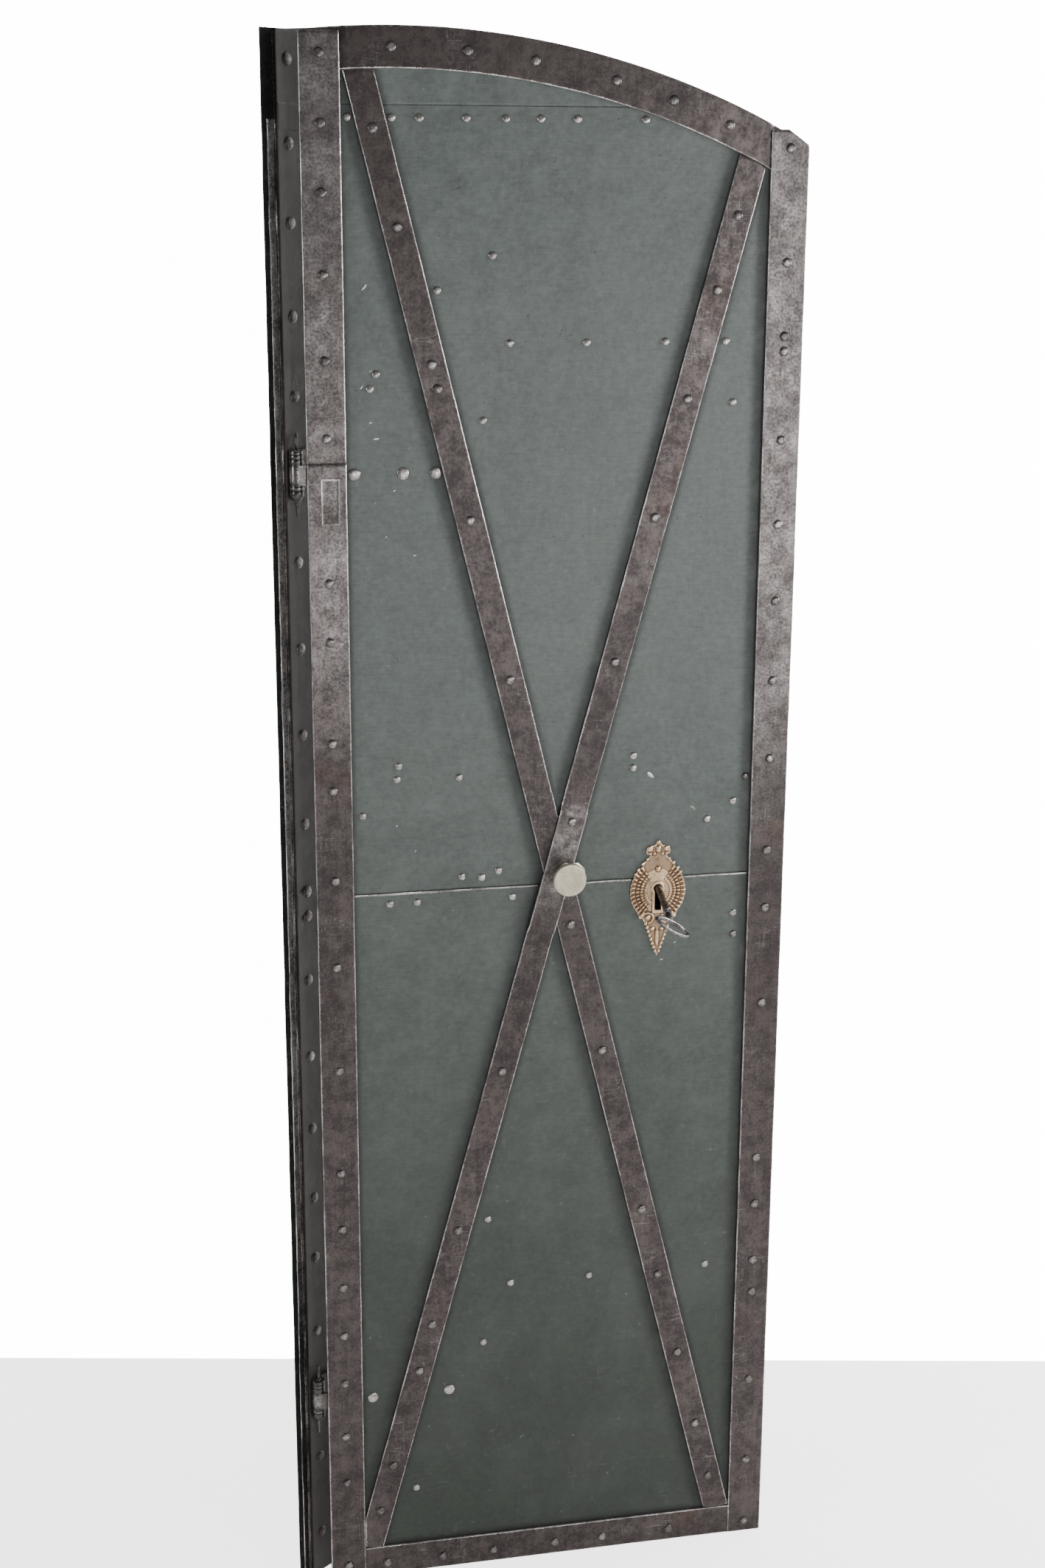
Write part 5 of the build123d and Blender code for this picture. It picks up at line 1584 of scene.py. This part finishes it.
@dataclass
class KeyPiece:
    """The key: warded bit, a shank that is bent down outside the plate, collars and a ring for a bow."""
    leaf: LeafFrame
    spot: Place
    turn: float = 54.0
    droop: float = 23.0
    shank: float = 4.0
    pivot: float = 3.0
    pivot_end: float = -28.5
    bit_start: float = -8.0
    bit_end: float = -21.0
    bit_reach: float = 24.0
    bit_thickness: float = 4.5
    elbow: float = 8.0
    arm: float = 56.5
    collar: float = 42.0
    bow: Place = (54.0, 25.0)
    wire: float = 4.6

    def build(self, finishes: Finishes) -> None:
        """Builds the key as one piece.

        Args:
            finishes: every finish of the door.
        """
        out = self.leaf.out_way()
        turn = math.radians(self.turn)
        way = self.leaf.along_way() * math.sin(turn) + Vector((0, 0, -1)) * math.cos(turn)
        frame = stand(way, out, self.leaf.point(*self.spot, 0.0))
        shell = Shell()
        shank = self.shank
        profile = [(0.0, self.pivot_end), (self.pivot - 0.5, self.pivot_end),
                   (self.pivot, self.pivot_end + 0.6), (self.pivot, self.bit_end),
                   (shank, self.bit_end + 0.4), (shank, self.elbow)]
        dome = [(shank * math.cos(a), self.elbow + shank * math.sin(a)) for a in (0.4, 0.8, 1.2)]
        shell.lathe(frame, [*profile, *dome, (0.0, self.elbow + shank)], 24)
        arm = self._arm_frame(way, out)
        collar = self.collar
        profile = [(0.0, -1.0), (shank * 0.8, -0.8), (shank, 0.6), (shank, collar - 2.4, -0.3),
                   (shank + 1.3, collar - 1.8, 0.3), (shank + 1.6, collar - 0.6, 0.5),
                   (shank + 0.4, collar + 0.4, -0.7), (shank + 1.4, collar + 1.3, 0.5),
                   (shank + 1.5, collar + 2.5, 0.3), (shank, collar + 3.2, -0.4),
                   (shank - 0.4, collar + 7.0), (shank, self.arm - 2.0), (shank + 1.0, self.arm),
                   (0.0, self.arm + 1.6)]
        shell.lathe(arm, profile, 24)
        half_width, half_length = self.bow[0] / 2 - self.wire / 2, self.bow[1] / 2 - self.wire / 2
        centre = self.arm - 1.0 + self.bow[1] / 2
        ring = [arm @ (Vector((half_width * math.sin(a), 0.0, centre - half_length * math.cos(a))) * MM)
                for a in turns(64)]
        radii = [self.wire / 2 * (1.0 + 0.3 * max(0.0, math.cos(a)) ** 3) for a in turns(64)]
        shell.tube(ring, radii, 12, closed=True)
        self._bit(shell, frame)
        settle(shell.build("key_forged", finishes.key, 40.0), "key", "key_steel", "key")

    def _arm_frame(self, way: Vector, out: Vector) -> Matrix:
        """A frame at the elbow whose Z axis runs down the bent arm and whose X axis lies in the bow.

        Args:
            way: the way that the bow is turned.
            out: the way out of the leaf.

        Returns:
            The frame.
        """
        droop = math.radians(self.droop)
        down = out * math.cos(droop) + Vector((0, 0, -1)) * math.sin(droop)
        side = (way - down * way.dot(down)).normalized()
        return stand(side, down, self.leaf.point(*self.spot, self.elbow))

    def _bit(self, shell: Shell, frame: Matrix) -> None:
        """Adds the bit, cut by one ward.

        Args:
            shell: the mesh that it joins.
            frame: the shank's frame.
        """
        half = self.bit_thickness / 2
        middle = (self.bit_start + self.bit_end) / 2
        outline = ((1.0, self.bit_start), (self.bit_reach, self.bit_start), (self.bit_reach, middle + 1.2),
                   (self.bit_reach - 8.0, middle + 1.2), (self.bit_reach - 8.0, middle - 1.2),
                   (self.bit_reach, middle - 1.2), (self.bit_reach, self.bit_end), (1.0, self.bit_end))
        rows = [[shell.add(frame @ (Vector((x, side * half, z)) * MM), 0.5) for x, z in outline]
                for side in (-1, 1)]
        shell.join(rows)
        shell.cap(rows)


@dataclass
class HingePin:
    """A loose hinge pin with a ring to draw it by and a tapered tip."""
    node: str
    body: str
    axis: Place
    height: float
    radius: float = 3.5
    top: float = 27.0
    foot: float = -28.5
    tip: float = 20.0
    ring: Place = (12.0, 19.0)
    wire: float = 3.4

    def build(self, finishes: Finishes) -> None:
        """Builds the pin.

        Args:
            finishes: every finish of the door.
        """
        frame = Matrix.Translation(Vector((self.axis[0], self.axis[1], self.height)) * MM)
        shell = Shell()
        low = self.foot - self.tip
        profile = [(0.0, low), (0.8, low + 0.2), (1.4, low + 3.0), (self.radius - 0.3, self.foot - 1.5),
                   (self.radius, self.foot), (self.radius, self.top), (self.radius - 0.3, self.top + 1.0),
                   (2.6, self.top + 1.6), (0.0, self.top + 2.0)]
        shell.lathe(frame, profile, 24)
        half_width, half_height = self.ring[0] / 2 - self.wire / 2, self.ring[1] / 2 - self.wire / 2
        centre = self.top + 0.5 + self.ring[1] / 2
        ring = [frame @ (Vector((0.0, half_width * math.sin(a), centre - half_height * math.cos(a))) * MM)
                for a in turns(40)]
        shell.tube(ring, [self.wire / 2] * len(ring), 10, closed=True)
        settle(shell.build(f"{self.node}_forged", finishes.hinges), self.body, "hinge_iron", self.node)


@dataclass
class KnuckleSet:
    """The worn faces of one hinge's three knuckles: rings and grooves, with painted shade in the grooves and
    where they meet, and light bands that are part rubbed metal, part painted highlight.
    """
    name: str
    axis: Place
    height: float
    radius: float = 8.0
    core: float = 6.5

    def _sleeve(self, part: str, body: str, profile: Sequence[Sequence[float]], finishes: Finishes) -> None:
        """Builds one sleeve from heights over the hinge's middle, swells over the radius, and tones.

        Args:
            part: which knuckle it is.
            body: the CAD body that it moves with.
            profile: height, swell and tone of each ring.
            finishes: every finish of the door.
        """
        frame = Matrix.Translation(Vector((self.axis[0], self.axis[1], self.height)) * MM)
        rings = [(self.radius + swell, height, tone) for height, swell, tone in profile]
        # Painted shade: the closing rings at both ends are at tone -1
        first, last = (self.core, rings[0][1], -1.0), (self.core, rings[-1][1], -1.0)
        shell = Shell()
        shell.lathe(frame, [first, *rings, last, first], 96, self._uneven)
        settle(shell.build(f"{self.name}_{part}", finishes.knuckles, 50.0), body, "hinge_iron")

    def _uneven(self, angle: float, radius: float) -> float:
        """Small dents round a knuckle."""
        where = Vector((2.2 * math.cos(angle), 2.2 * math.sin(angle), self.height + radius))
        return 1.004 + 0.004 * noise.noise(where)

    def build(self, finishes: Finishes) -> None:
        """Builds the three sleeves.

        Args:
            finishes: every finish of the door.
        """
        # Tones below zero paint shade in the grooves and at the ends; above zero they are rubbed metal and a
        # painted highlight
        self._sleeve("upper_knuckle", "wall_leaf",
                     ((11.5, -0.5, -1.0), (12.3, 0.05, -1.0), (13.0, 0.22, 0.0), (16.4, 0.26, 0.05),
                      (17.0, 0.02, -0.8), (17.9, 0.02, -0.8), (18.5, 0.24, 0.0), (21.5, 0.24, 0.05),
                      (22.1, 0.02, -0.8), (22.9, 0.02, -0.8), (23.4, 0.2, 0.1), (26.2, 0.16, 0.15),
                      (27.0, -0.5, -0.4)), finishes)
        self._sleeve("middle_knuckle", "lock_leaf",
                     ((-11.0, -0.6, -1.0), (-10.3, 0.05, -0.9), (-9.0, 0.28, 0.15), (-4.0, 0.22, 0.5),
                      (2.0, 0.26, 0.4), (8.6, 0.3, 0.35), (10.0, 0.15, 0.0), (11.0, -0.6, -1.0)), finishes)
        self._sleeve("lower_knuckle", "wall_leaf",
                     ((-23.4, -0.2, 0.0), (-22.6, 0.18, 0.1), (-19.0, 0.2, 0.0), (-18.4, 0.0, -0.8),
                      (-17.4, 0.0, -0.8), (-16.8, 0.24, 0.15), (-14.2, 0.28, 0.4), (-12.6, 0.1, -0.6),
                      (-11.5, -0.5, -1.0)), finishes)


@dataclass
class BareNicks:
    """Small nicks where the paint is knocked off down to bright metal."""
    leaf: LeafFrame
    places: Sequence[tuple[float, float, float, float]] = (
        (72.0, 1468.0, 2.2, 0.3), (78.0, 1450.0, 3.6, 0.1), (67.0, 1615.0, 4.5, 0.9),
        (73.0, 1524.5, 2.6, 0.4), (81.0, 1522.0, 2.2, 1.2), (62.5, 1507.0, 3.0, 0.8),
        (98.0, 1392.0, 1.8, 0.2), (76.0, 1379.0, 1.5, 0.0), (88.0, 1340.0, 2.0, 1.0),
        (120.0, 1318.0, 1.6, 0.5), (455.0, 1003.0, 3.4, 2.6), (402.0, 1046.0, 5.5, 2.4),
        (436.0, 833.0, 1.8, 0.3), (420.0, 812.0, 2.2, 0.1), (96.0, 1000.0, 1.7, 0.6),
        (118.0, 968.0, 2.0, 1.1))

    def build(self, finishes: Finishes) -> None:
        """Builds the nicks as flat ragged lenses.

        Args:
            finishes: every finish of the door.
        """
        shell = Shell()
        for along, height, length, turn in self.places:
            rows: list[list[int]] = []
            for share, level in ((1.0, -0.15), (0.86, 0.06), (0.4, 0.13), (0.0, 0.14)):
                row = []
                for angle in turns(16 if share else 1):
                    where = Vector((math.cos(angle) * 2, math.sin(angle) * 2, height))
                    ragged = share * (1.0 + 0.45 * noise.noise(where))
                    x, y = length * ragged * math.cos(angle), length * 0.42 * ragged * math.sin(angle)
                    spot = self.leaf.point(along + x * math.cos(turn) - y * math.sin(turn),
                                           height + x * math.sin(turn) + y * math.cos(turn), level)
                    row.append(shell.add(spot))
                rows.append(row)
            shell.join(rows)
        settle(shell.build(f"{self.leaf.name}_bare_nicks", finishes.seam, 60.0), self.leaf.body,
               "sheet_paint")


@dataclass
class Escutcheon:
    """The cast keyhole plate: an oval with a neck, a lobed crown and a pointed tail, beaded all round."""
    leaf: LeafFrame
    spot: Place
    half: Place = (34.5, 38.0)
    centre_drop: float = 4.0
    tail_drop: float = 87.0
    thickness: float = 1.8
    voxel: float = 0.00052

    def _blob(self, form: bmesh.types.BMesh, across: float, up: float, level: float, sizes: Sequence[float],
              turn: float = 0.0) -> None:
        """Adds a squashed ball to the relief.

        Args:
            form: the mesh that it joins.
            across: its place beside the key, in mm.
            up: its place over the key, in mm.
            level: its middle's level, in mm.
            sizes: half its size each way, in mm.
            turn: its turn, in radians.
        """
        frame = self.leaf.frame(self.spot[0] + across, self.spot[1] + up, level)
        spin = Matrix.Rotation(turn, 4, "Z")
        scale = Matrix.Diagonal((sizes[0] * MM, sizes[1] * MM, sizes[2] * MM, 1.0))
        bmesh.ops.create_icosphere(form, subdivisions=2, radius=1.0, matrix=frame @ spin @ scale)

    def _outline(self) -> list[Place]:
        """The plate's right half outline, from the tip of the tail to the top, round the key.

        Returns:
            The corners.
        """
        drop = self.centre_drop
        line = [(0.0, -self.tail_drop), (2.9, -80.0), (6.2, -72.0), (9.4, -62.0), (12.4, -52.0),
                (15.8, -44.0), (19.4, -37.5), (24.0, -33.0)]
        for degrees in range(-42, 52, 6):
            angle = math.radians(degrees)
            line.append((self.half[0] * math.cos(angle), self.half[1] * math.sin(angle) - drop))
        line += [(19.5, 28.5), (19.0, 32.5), (15.0, 34.5), (12.0, 38.0), (10.5, 41.0), (14.0, 43.0),
                 (15.2, 47.0), (14.0, 51.5), (9.0, 53.6), (4.2, 53.8), (3.0, 56.5), (1.6, 59.2),
                 (0.0, 60.0)]
        return line

    def _slab(self, form: bmesh.types.BMesh, outline: Sequence[Place], low: float, high: float) -> None:
        """Adds a flat plate of an outline given round the key.

        Args:
            form: the mesh that it joins.
            outline: its corners.
            low: the level of its back.
            high: the level of its face.
        """
        rows = [[form.verts.new(self.leaf.point(self.spot[0] + x, self.spot[1] + y, level))
                 for x, y in outline]
                for level in (low, high)]
        count = len(outline)
        for k in range(count):
            after = (k + 1) % count
            form.faces.new((rows[0][k], rows[0][after], rows[1][after], rows[1][k]))
        form.faces.new(rows[1])
        form.faces.new(list(reversed(rows[0])))

    def build(self, finishes: Finishes) -> None:
        """Builds the plate as one cast surface.

        Args:
            finishes: every finish of the door.
        """
        form = bmesh.new()
        right = self._outline()
        outline = right + [(-x, y) for x, y in reversed(right[1:-1])]
        self._slab(form, outline, 0.0, self.thickness)
        self._blob(form, 0.0, -4.0, 0.9, (27.0, 31.0, 2.6))
        for side in (-1, 1):
            for degrees in range(-54, 60, 9):
                angle = math.radians(degrees)
                for share, level, size in ((0.92, 2.3, (3.2, 1.25, 1.6)), (0.74, 2.5, (2.2, 1.2, 1.6)),
                                           (0.60, 2.8, (1.6, 1.3, 1.4)), (0.45, 3.2, (1.4, 1.0, 1.1))):
                    self._blob(form, side * self.half[0] * share * math.cos(angle),
                               self.half[1] * share * math.sin(angle) - self.centre_drop,
                               level, size, math.atan2(math.sin(angle), side * math.cos(angle)))
            for x, y, size in ((19.0, 31.0, 2.3), (13.6, 36.5, 1.9), (24.5, 24.0, 2.2), (28.0, 18.5, 2.0),
                               (10.5, 49.5, 3.6), (5.0, 43.0, 1.5), (10.0, 43.2, 1.4), (21.0, -36.0, 2.6),
                               (11.5, -37.0, 3.0), (6.0, -52.0, 2.4), (20.0, 26.0, 1.6)):
                self._blob(form, side * x, y, self.thickness + 0.2, (size, size, 1.4))
            for k in range(8):
                share = k / 7
                self._blob(form, side * (14.6 - 12.2 * share), -45.0 - 36.0 * share, self.thickness,
                           (1.9, 1.9, 1.4))
            for k in range(14):
                angle = math.pi * (0.15 + 1.25 * k / 13)
                self._blob(form, side * (12.0 + 7.0 * math.cos(angle)), -38.0 + 6.5 * math.sin(angle),
                           self.thickness + 0.3, (1.3, 1.3, 1.2))
        self._blob(form, 0.0, 49.0, self.thickness + 0.3, (3.2, 4.2, 1.7))
        self._blob(form, 0.0, 57.0, self.thickness - 0.2, (1.8, 3.0, 1.3))
        self._blob(form, 0.0, 24.0, self.thickness + 0.9, (3.0, 3.4, 1.7))
        self._blob(form, 0.0, -62.0, self.thickness, (2.4, 12.0, 1.6))
        rim = [(8.2 * math.sin(a), 8.2 * math.cos(a))
               for a in (math.radians(d) for d in range(-132, 133, 12))]
        rim += [(6.9, -8.0), (6.9, -31.5), (-6.9, -31.5), (-6.9, -8.0)]
        self._slab(form, rim, 0.0, self.thickness + 2.3)
        mesh = bpy.data.meshes.new("escutcheon_cast")
        bmesh.ops.recalc_face_normals(form, faces=form.faces)
        form.to_mesh(mesh)
        form.free()
        piece = enter("escutcheon_cast", mesh)
        self._cast(piece)
        mesh = piece.data
        self._mark_crests(mesh)
        mesh.materials.append(finishes.relief)
        mesh.shade_smooth()
        settle(piece, self.leaf.body, "old_brass", "escutcheon")

    def _mark_crests(self, mesh: bpy.types.Mesh) -> None:
        """Marks each point with how far it stands out of its surroundings, for the finish.

        Args:
            mesh: the plate's mesh.
        """
        count = len(mesh.vertices)
        rise = [self.leaf.read(spot.co)[2] for spot in mesh.vertices]
        smooth = list(rise)
        for _ in range(7):
            total, shares = list(smooth), [1] * count
            for line in mesh.edges:
                a, b = line.vertices
                total[a] += smooth[b]
                total[b] += smooth[a]
                shares[a] += 1
                shares[b] += 1
            smooth = [t / n for t, n in zip(total, shares)]
        crest = [max(-1.0, min(1.0, (r - t) / 0.28 + (r - self.thickness - 0.6) * 0.22))
                 for r, t in zip(rise, smooth)]
        mesh.attributes.new("crest", "FLOAT", "POINT").data.foreach_set("value", crest)

    def _keyhole(self) -> Object:
        """A cutter in the shape of the keyhole.

        Returns:
            The cutter.
        """
        hole = bmesh.new()
        outline = [(5.5 * math.sin(a), 5.5 * math.cos(a))
                   for a in (math.radians(d) for d in range(-126, 127, 14))]
        outline += [(4.25, -4.0), (4.25, -28.0), (-4.25, -28.0), (-4.25, -4.0)]
        self._slab(hole, outline, -3.0, 9.0)
        bmesh.ops.recalc_face_normals(hole, faces=hole.faces)
        mesh = bpy.data.meshes.new("keyhole_cutter")
        hole.to_mesh(mesh)
        hole.free()
        return enter("keyhole_cutter", mesh)

    def _cast(self, piece: Object) -> None:
        """Melts the relief into one surface and cuts the keyhole through it.

        Args:
            piece: the plate.
        """
        melt = piece.modifiers.new("melt", "REMESH")
        melt.mode = "VOXEL"
        melt.voxel_size = self.voxel
        soften = piece.modifiers.new("soften", "SMOOTH")
        soften.factor = 0.5
        soften.iterations = 2
        cutter = self._keyhole()
        cut = piece.modifiers.new("cut", "BOOLEAN")
        cut.operation = "DIFFERENCE"
        cut.object = cutter
        graph = bpy.context.evaluated_depsgraph_get()
        done = bpy.data.meshes.new_from_object(piece.evaluated_get(graph))
        piece.modifiers.clear()
        piece.data = done
        bpy.data.objects.remove(cutter)


@dataclass
class Studio:
    """The camera, the pale floor and wall, and the soft lights."""
    eye: Triple = (-0.5432, -2.424, 1.7267)
    right: Triple = (0.9793, -0.2025, 0.0035)
    down: Triple = (-0.0505, -0.2611, -0.9640)
    forward: Triple = (0.1962, 0.9438, -0.2659)
    lens: float = 50.146
    wall_foot: Triple = (0.22, 0.45, 0.0)
    wall_half: float = 7.0
    wall_height: float = 5.0
    floor_glow: Place = (0.34, 3.2)
    wall_glow: Place = (0.8, 15.0)
    air_glow: Place = (0.14, 4.0)

    def camera(self) -> None:
        """Places the camera as the photograph's."""
        data = bpy.data.cameras.new("photo_camera")
        data.lens = self.lens
        data.sensor_width = 36.0
        camera = enter("photo_camera", data)
        rows = Matrix((Vector(self.right), -Vector(self.down), -Vector(self.forward))).transposed()
        camera.matrix_world = Matrix.Translation(Vector(self.eye)) @ rows.to_4x4()
        bpy.context.scene.camera = camera

    def _plain(self, name: str, corners: Sequence[Sequence[float]], colour: Colour, glow: Place,
               one_sided: bool) -> None:
        """Adds one flat surface of the room, with a weaker glow for the door than for the eye.

        Args:
            name: its name.
            corners: its corners, in metres.
            colour: its colour.
            glow: its glow for the door and for the eye.
            one_sided: whether it is clear from behind.
        """
        mesh = bpy.data.meshes.new(name)
        mesh.from_pydata([tuple(c) for c in corners], [], [tuple(range(len(corners)))])
        material, weave, shader, _ = new_material(name)
        seen = weave.put("ShaderNodeLightPath").outputs["Is Camera Ray"]
        weave.feed(shader, {"Base Color": colour, "Roughness": 0.75, "Emission Color": colour,
                            "Specular IOR Level": 0.2,
                            "Emission Strength": weave.span(seen, 0.0, 1.0, *glow)})
        if one_sided:
            clear = weave.put("ShaderNodeBsdfTransparent").outputs[0]
            behind = weave.put("ShaderNodeNewGeometry").outputs["Backfacing"]
            mixed = weave.put("ShaderNodeMixShader", {0: behind, 1: shader.outputs[0], 2: clear})
            weave.feed(weave.tree.nodes["Material Output"], {"Surface": mixed.outputs[0]})
        mesh.materials.append(material)
        enter(name, mesh)

    def room(self) -> None:
        """Builds the floor, and the wall square to the camera's heading."""
        run = Vector((self.right[0], self.right[1], 0.0)).normalized() * self.wall_half
        left = Vector(self.wall_foot) - run
        right = Vector(self.wall_foot) + run
        low, high = Vector((0.0, 0.0, -0.02)), Vector((0.0, 0.0, self.wall_height))
        self._plain("floor", ((-6, -7, 0), (6, -7, 0), (6, 7, 0), (-6, 7, 0)), (0.86, 0.84, 0.835, 1.0),
                    self.floor_glow, False)
        self._plain("wall", (left + low, right + low, right + high, left + high), (0.95, 0.95, 0.95, 1.0),
                    self.wall_glow, True)

    def _soft_light(self, name: str, place: Sequence[float], aim: Sequence[float], size: Place,
                    power: float) -> None:
        """Adds one soft box.

        Args:
            name: its name.
            place: its middle, in metres.
            aim: the point that it faces.
            size: width and height, in metres.
            power: in watts.
        """
        data = bpy.data.lights.new(name, "AREA")
        data.shape = "RECTANGLE"
        data.size, data.size_y = size
        data.energy = power
        lamp = enter(name, data)
        lamp.location = place
        lamp.rotation_mode = "QUATERNION"
        lamp.rotation_quaternion = (Vector(aim) - Vector(place)).to_track_quat("-Z", "Y")

    def lights(self) -> None:
        """Places the lights and the even glow of the room."""
        self._soft_light("right_strip", (2.05, -0.62, 1.6), (0.05, 0.0, 1.3), (0.3, 1.0), 50.0)
        self._soft_light("right_box", (0.97, -1.95, 1.3), (0.1, 0.0, 1.3), (0.3, 1.2), 15.0)
        self._soft_light("left_strip", (-2.2, -0.75, 1.65), (-0.1, 0.0, 1.4), (0.4, 1.0), 17.0)
        self._soft_light("front_box", (0.07, -2.75, 0.85), (-0.05, 0.0, 1.3), (0.26, 0.7), 9.0)
        world = bpy.data.worlds.new("room_glow")
        world.use_nodes = True
        weave = Weave(world.node_tree)
        seen = weave.put("ShaderNodeLightPath").outputs["Is Camera Ray"]
        strength = weave.span(seen, 0.0, 1.0, *self.air_glow)
        weave.feed(world.node_tree.nodes["Background"], {"Color": (1.0, 1.0, 1.0, 1.0), "Strength": strength})
        bpy.context.scene.world = world

    def build(self) -> None:
        """Builds everything round the door."""
        self.camera()
        self.room()
        self.lights()


@dataclass
class StileSheen:
    """Painted sheen on a stile, in place of the reflection of the lights: a run of heights that fades at both
    ends, in uneven patches.
    """
    low: float
    high: float
    strength: float
    fade: float = 160.0

    def __call__(self, along: float, height: float) -> float:
        """The tone at a place on the stile.

        Args:
            along: distance from the fold edge, in mm.
            height: height over the floor, in mm.

        Returns:
            The tone.
        """
        inside = min(height - self.low, self.high - height)
        patch = 0.80 + 0.42 * wobble(along, height, 42.0, 41.0) + 0.30 * wobble(along, height, 9.0, 43.0)
        return self.strength * max(0.0, min(1.0, 0.5 + inside / self.fade)) * max(0.0, patch)


def dress_front(shape: DoorShape, nodes: dict, finishes: Finishes) -> None:
    """Dresses the leaf with the lock.

    Args:
        shape: the door's sizes.
        nodes: the CAD nodes by name.
        finishes: the finishes.
    """
    leaf = LeafBuilder(shape, shape.front_leaf(), nodes, finishes, finishes.bars)
    leaf.dress_rivets()
    half = shape.joint_gap / 2
    # Painted sheen on the stiles, carried by the tone mark
    leaf.upright("front_fold_stile_lower", 0.0, shape.frame_width, 0.0, shape.splice_height - half, 1.0,
                 shape.stile_thickness, recess=Recess(16.0, 35.0, 1357.0, 1406.0, 0.6), interior=20,
                 tone=StileSheen(1130.0, 1600.0, 0.40))
    leaf.upright("front_fold_stile_upper", 0.0, shape.frame_width, shape.splice_height + half,
                 shape.leaf_height, 2.0, shape.stile_thickness, unevenness=0.34,
                 tone=StileSheen(1300.0, 2000.0, 0.36, 260.0), interior=14)
    leaf.far_stile("front_lock_stile", 3.0, tone=StileSheen(1010.0, 2000.0, 0.38, 260.0), interior=14)
    leaf.arch_bar("front_arch_bar", 4.0)
    leaf.sill_bar("front_sill_bar", 5.0)
    leaf.braces(6.0)
    leaf.paint_sheets()
    leaf.seam_lip(7.0)
    BareNicks(leaf.leaf).build(finishes)


def dress_rear(shape: DoorShape, nodes: dict, finishes: Finishes) -> None:
    """Dresses the leaf that hangs on the wall.

    Args:
        shape: the door's sizes.
        nodes: the CAD nodes by name.
        finishes: the finishes.
    """
    leaf = LeafBuilder(shape, shape.rear_leaf(), nodes, finishes, finishes.rear_bars)
    leaf.dress_rivets()
    leaf.upright("rear_fold_stile", 0.0, 32.0, 0.0, shape.leaf_height, 11.0, 5.5, ragged=0.5)
    leaf.far_stile("rear_wall_stile", 13.0)
    leaf.arch_bar("rear_arch_bar", 14.0)
    leaf.sill_bar("rear_sill_bar", 15.0)
    leaf.braces(16.0)
    leaf.paint_sheets()
    stations = [((-16.5, z), (24.0, z)) for z in spread(0.0, 1883.0, shape.section_step)]
    strip = ForgedBar("rear_cover_strip_forged", leaf.leaf, stations, 2.5, foot=5.5, rivets=leaf.rivet_places,
                      ragged=0.5, seed=17.0)
    settle(strip.build(finishes.cover), leaf.leaf.body, "cover_iron", "rear_cover_strip")
    inner = LeafFrame("rear_inner", leaf.leaf.body, leaf.leaf.corner, leaf.leaf.heading, -leaf.leaf.outward)
    stations = [((-10.0, z), (-0.4, z)) for z in spread(2.0, 1790.0, 3.0)]
    # Painted shade: the burr's tone darkens it towards the floor and lightens it at the top
    burr = ForgedBar("rear_fold_burr", inner, stations, 0.3, foot=-5.5, corner=0.15, unevenness=0.06,
                     ragged=1.6, seed=23.0, interior=5,
                     tone=lambda along, height: min(0.25, max(-0.9, (height - 640.0) / 420.0)))
    settle(burr.build(finishes.burr), leaf.leaf.body, "cover_iron")


def dress_small_parts(shape: DoorShape, nodes: dict, finishes: Finishes) -> None:
    """Dresses the knob, key, escutcheon, hinges and lock.

    Args:
        shape: the door's sizes.
        nodes: the CAD nodes by name.
        finishes: the finishes.
    """
    leaf = shape.front_leaf()
    cross = shape.crossing()
    KnobSet(leaf, (cross[0] + 8.0, cross[1] - 2.0)).build(finishes)
    KeyPiece(leaf, shape.lock_place).build(finishes)
    Escutcheon(leaf, shape.lock_place).build(finishes)
    hinges = tuple(zip(("high", "low"), shape.hinge_heights))
    for name, height in hinges:
        HingePin(f"{name}_hinge_pin", f"{name}_pin", shape.fold_axis, height).build(finishes)
    for name, height in hinges:
        KnuckleSet(f"{name}_hinge", shape.fold_axis, height).build(finishes)
    for name, node in nodes.items():
        if node.hide_render or name.endswith("_sheet"):
            continue
        if "hinge" in name or "eye" in name or name in ("knob_washer", "knob_nut"):
            dress_node(node, finishes.hinges)
        elif name.startswith("lock_"):
            dress_node(node, finishes.lock)
        elif name == "escutcheon_pins":
            dress_node(node, finishes.brass)
        else:
            dress_node(node, finishes.hidden)


def main() -> None:
    logging.basicConfig(level=logging.INFO, format="%(message)s")
    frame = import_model()
    nodes = frame["nodes"]
    shape = DoorShape()
    Studio().build()
    finishes = Finishes(Effects(), shape)
    dress_front(shape, nodes, finishes)
    dress_rear(shape, nodes, finishes)
    dress_small_parts(shape, nodes, finishes)


if __name__ == "__main__":
    main()
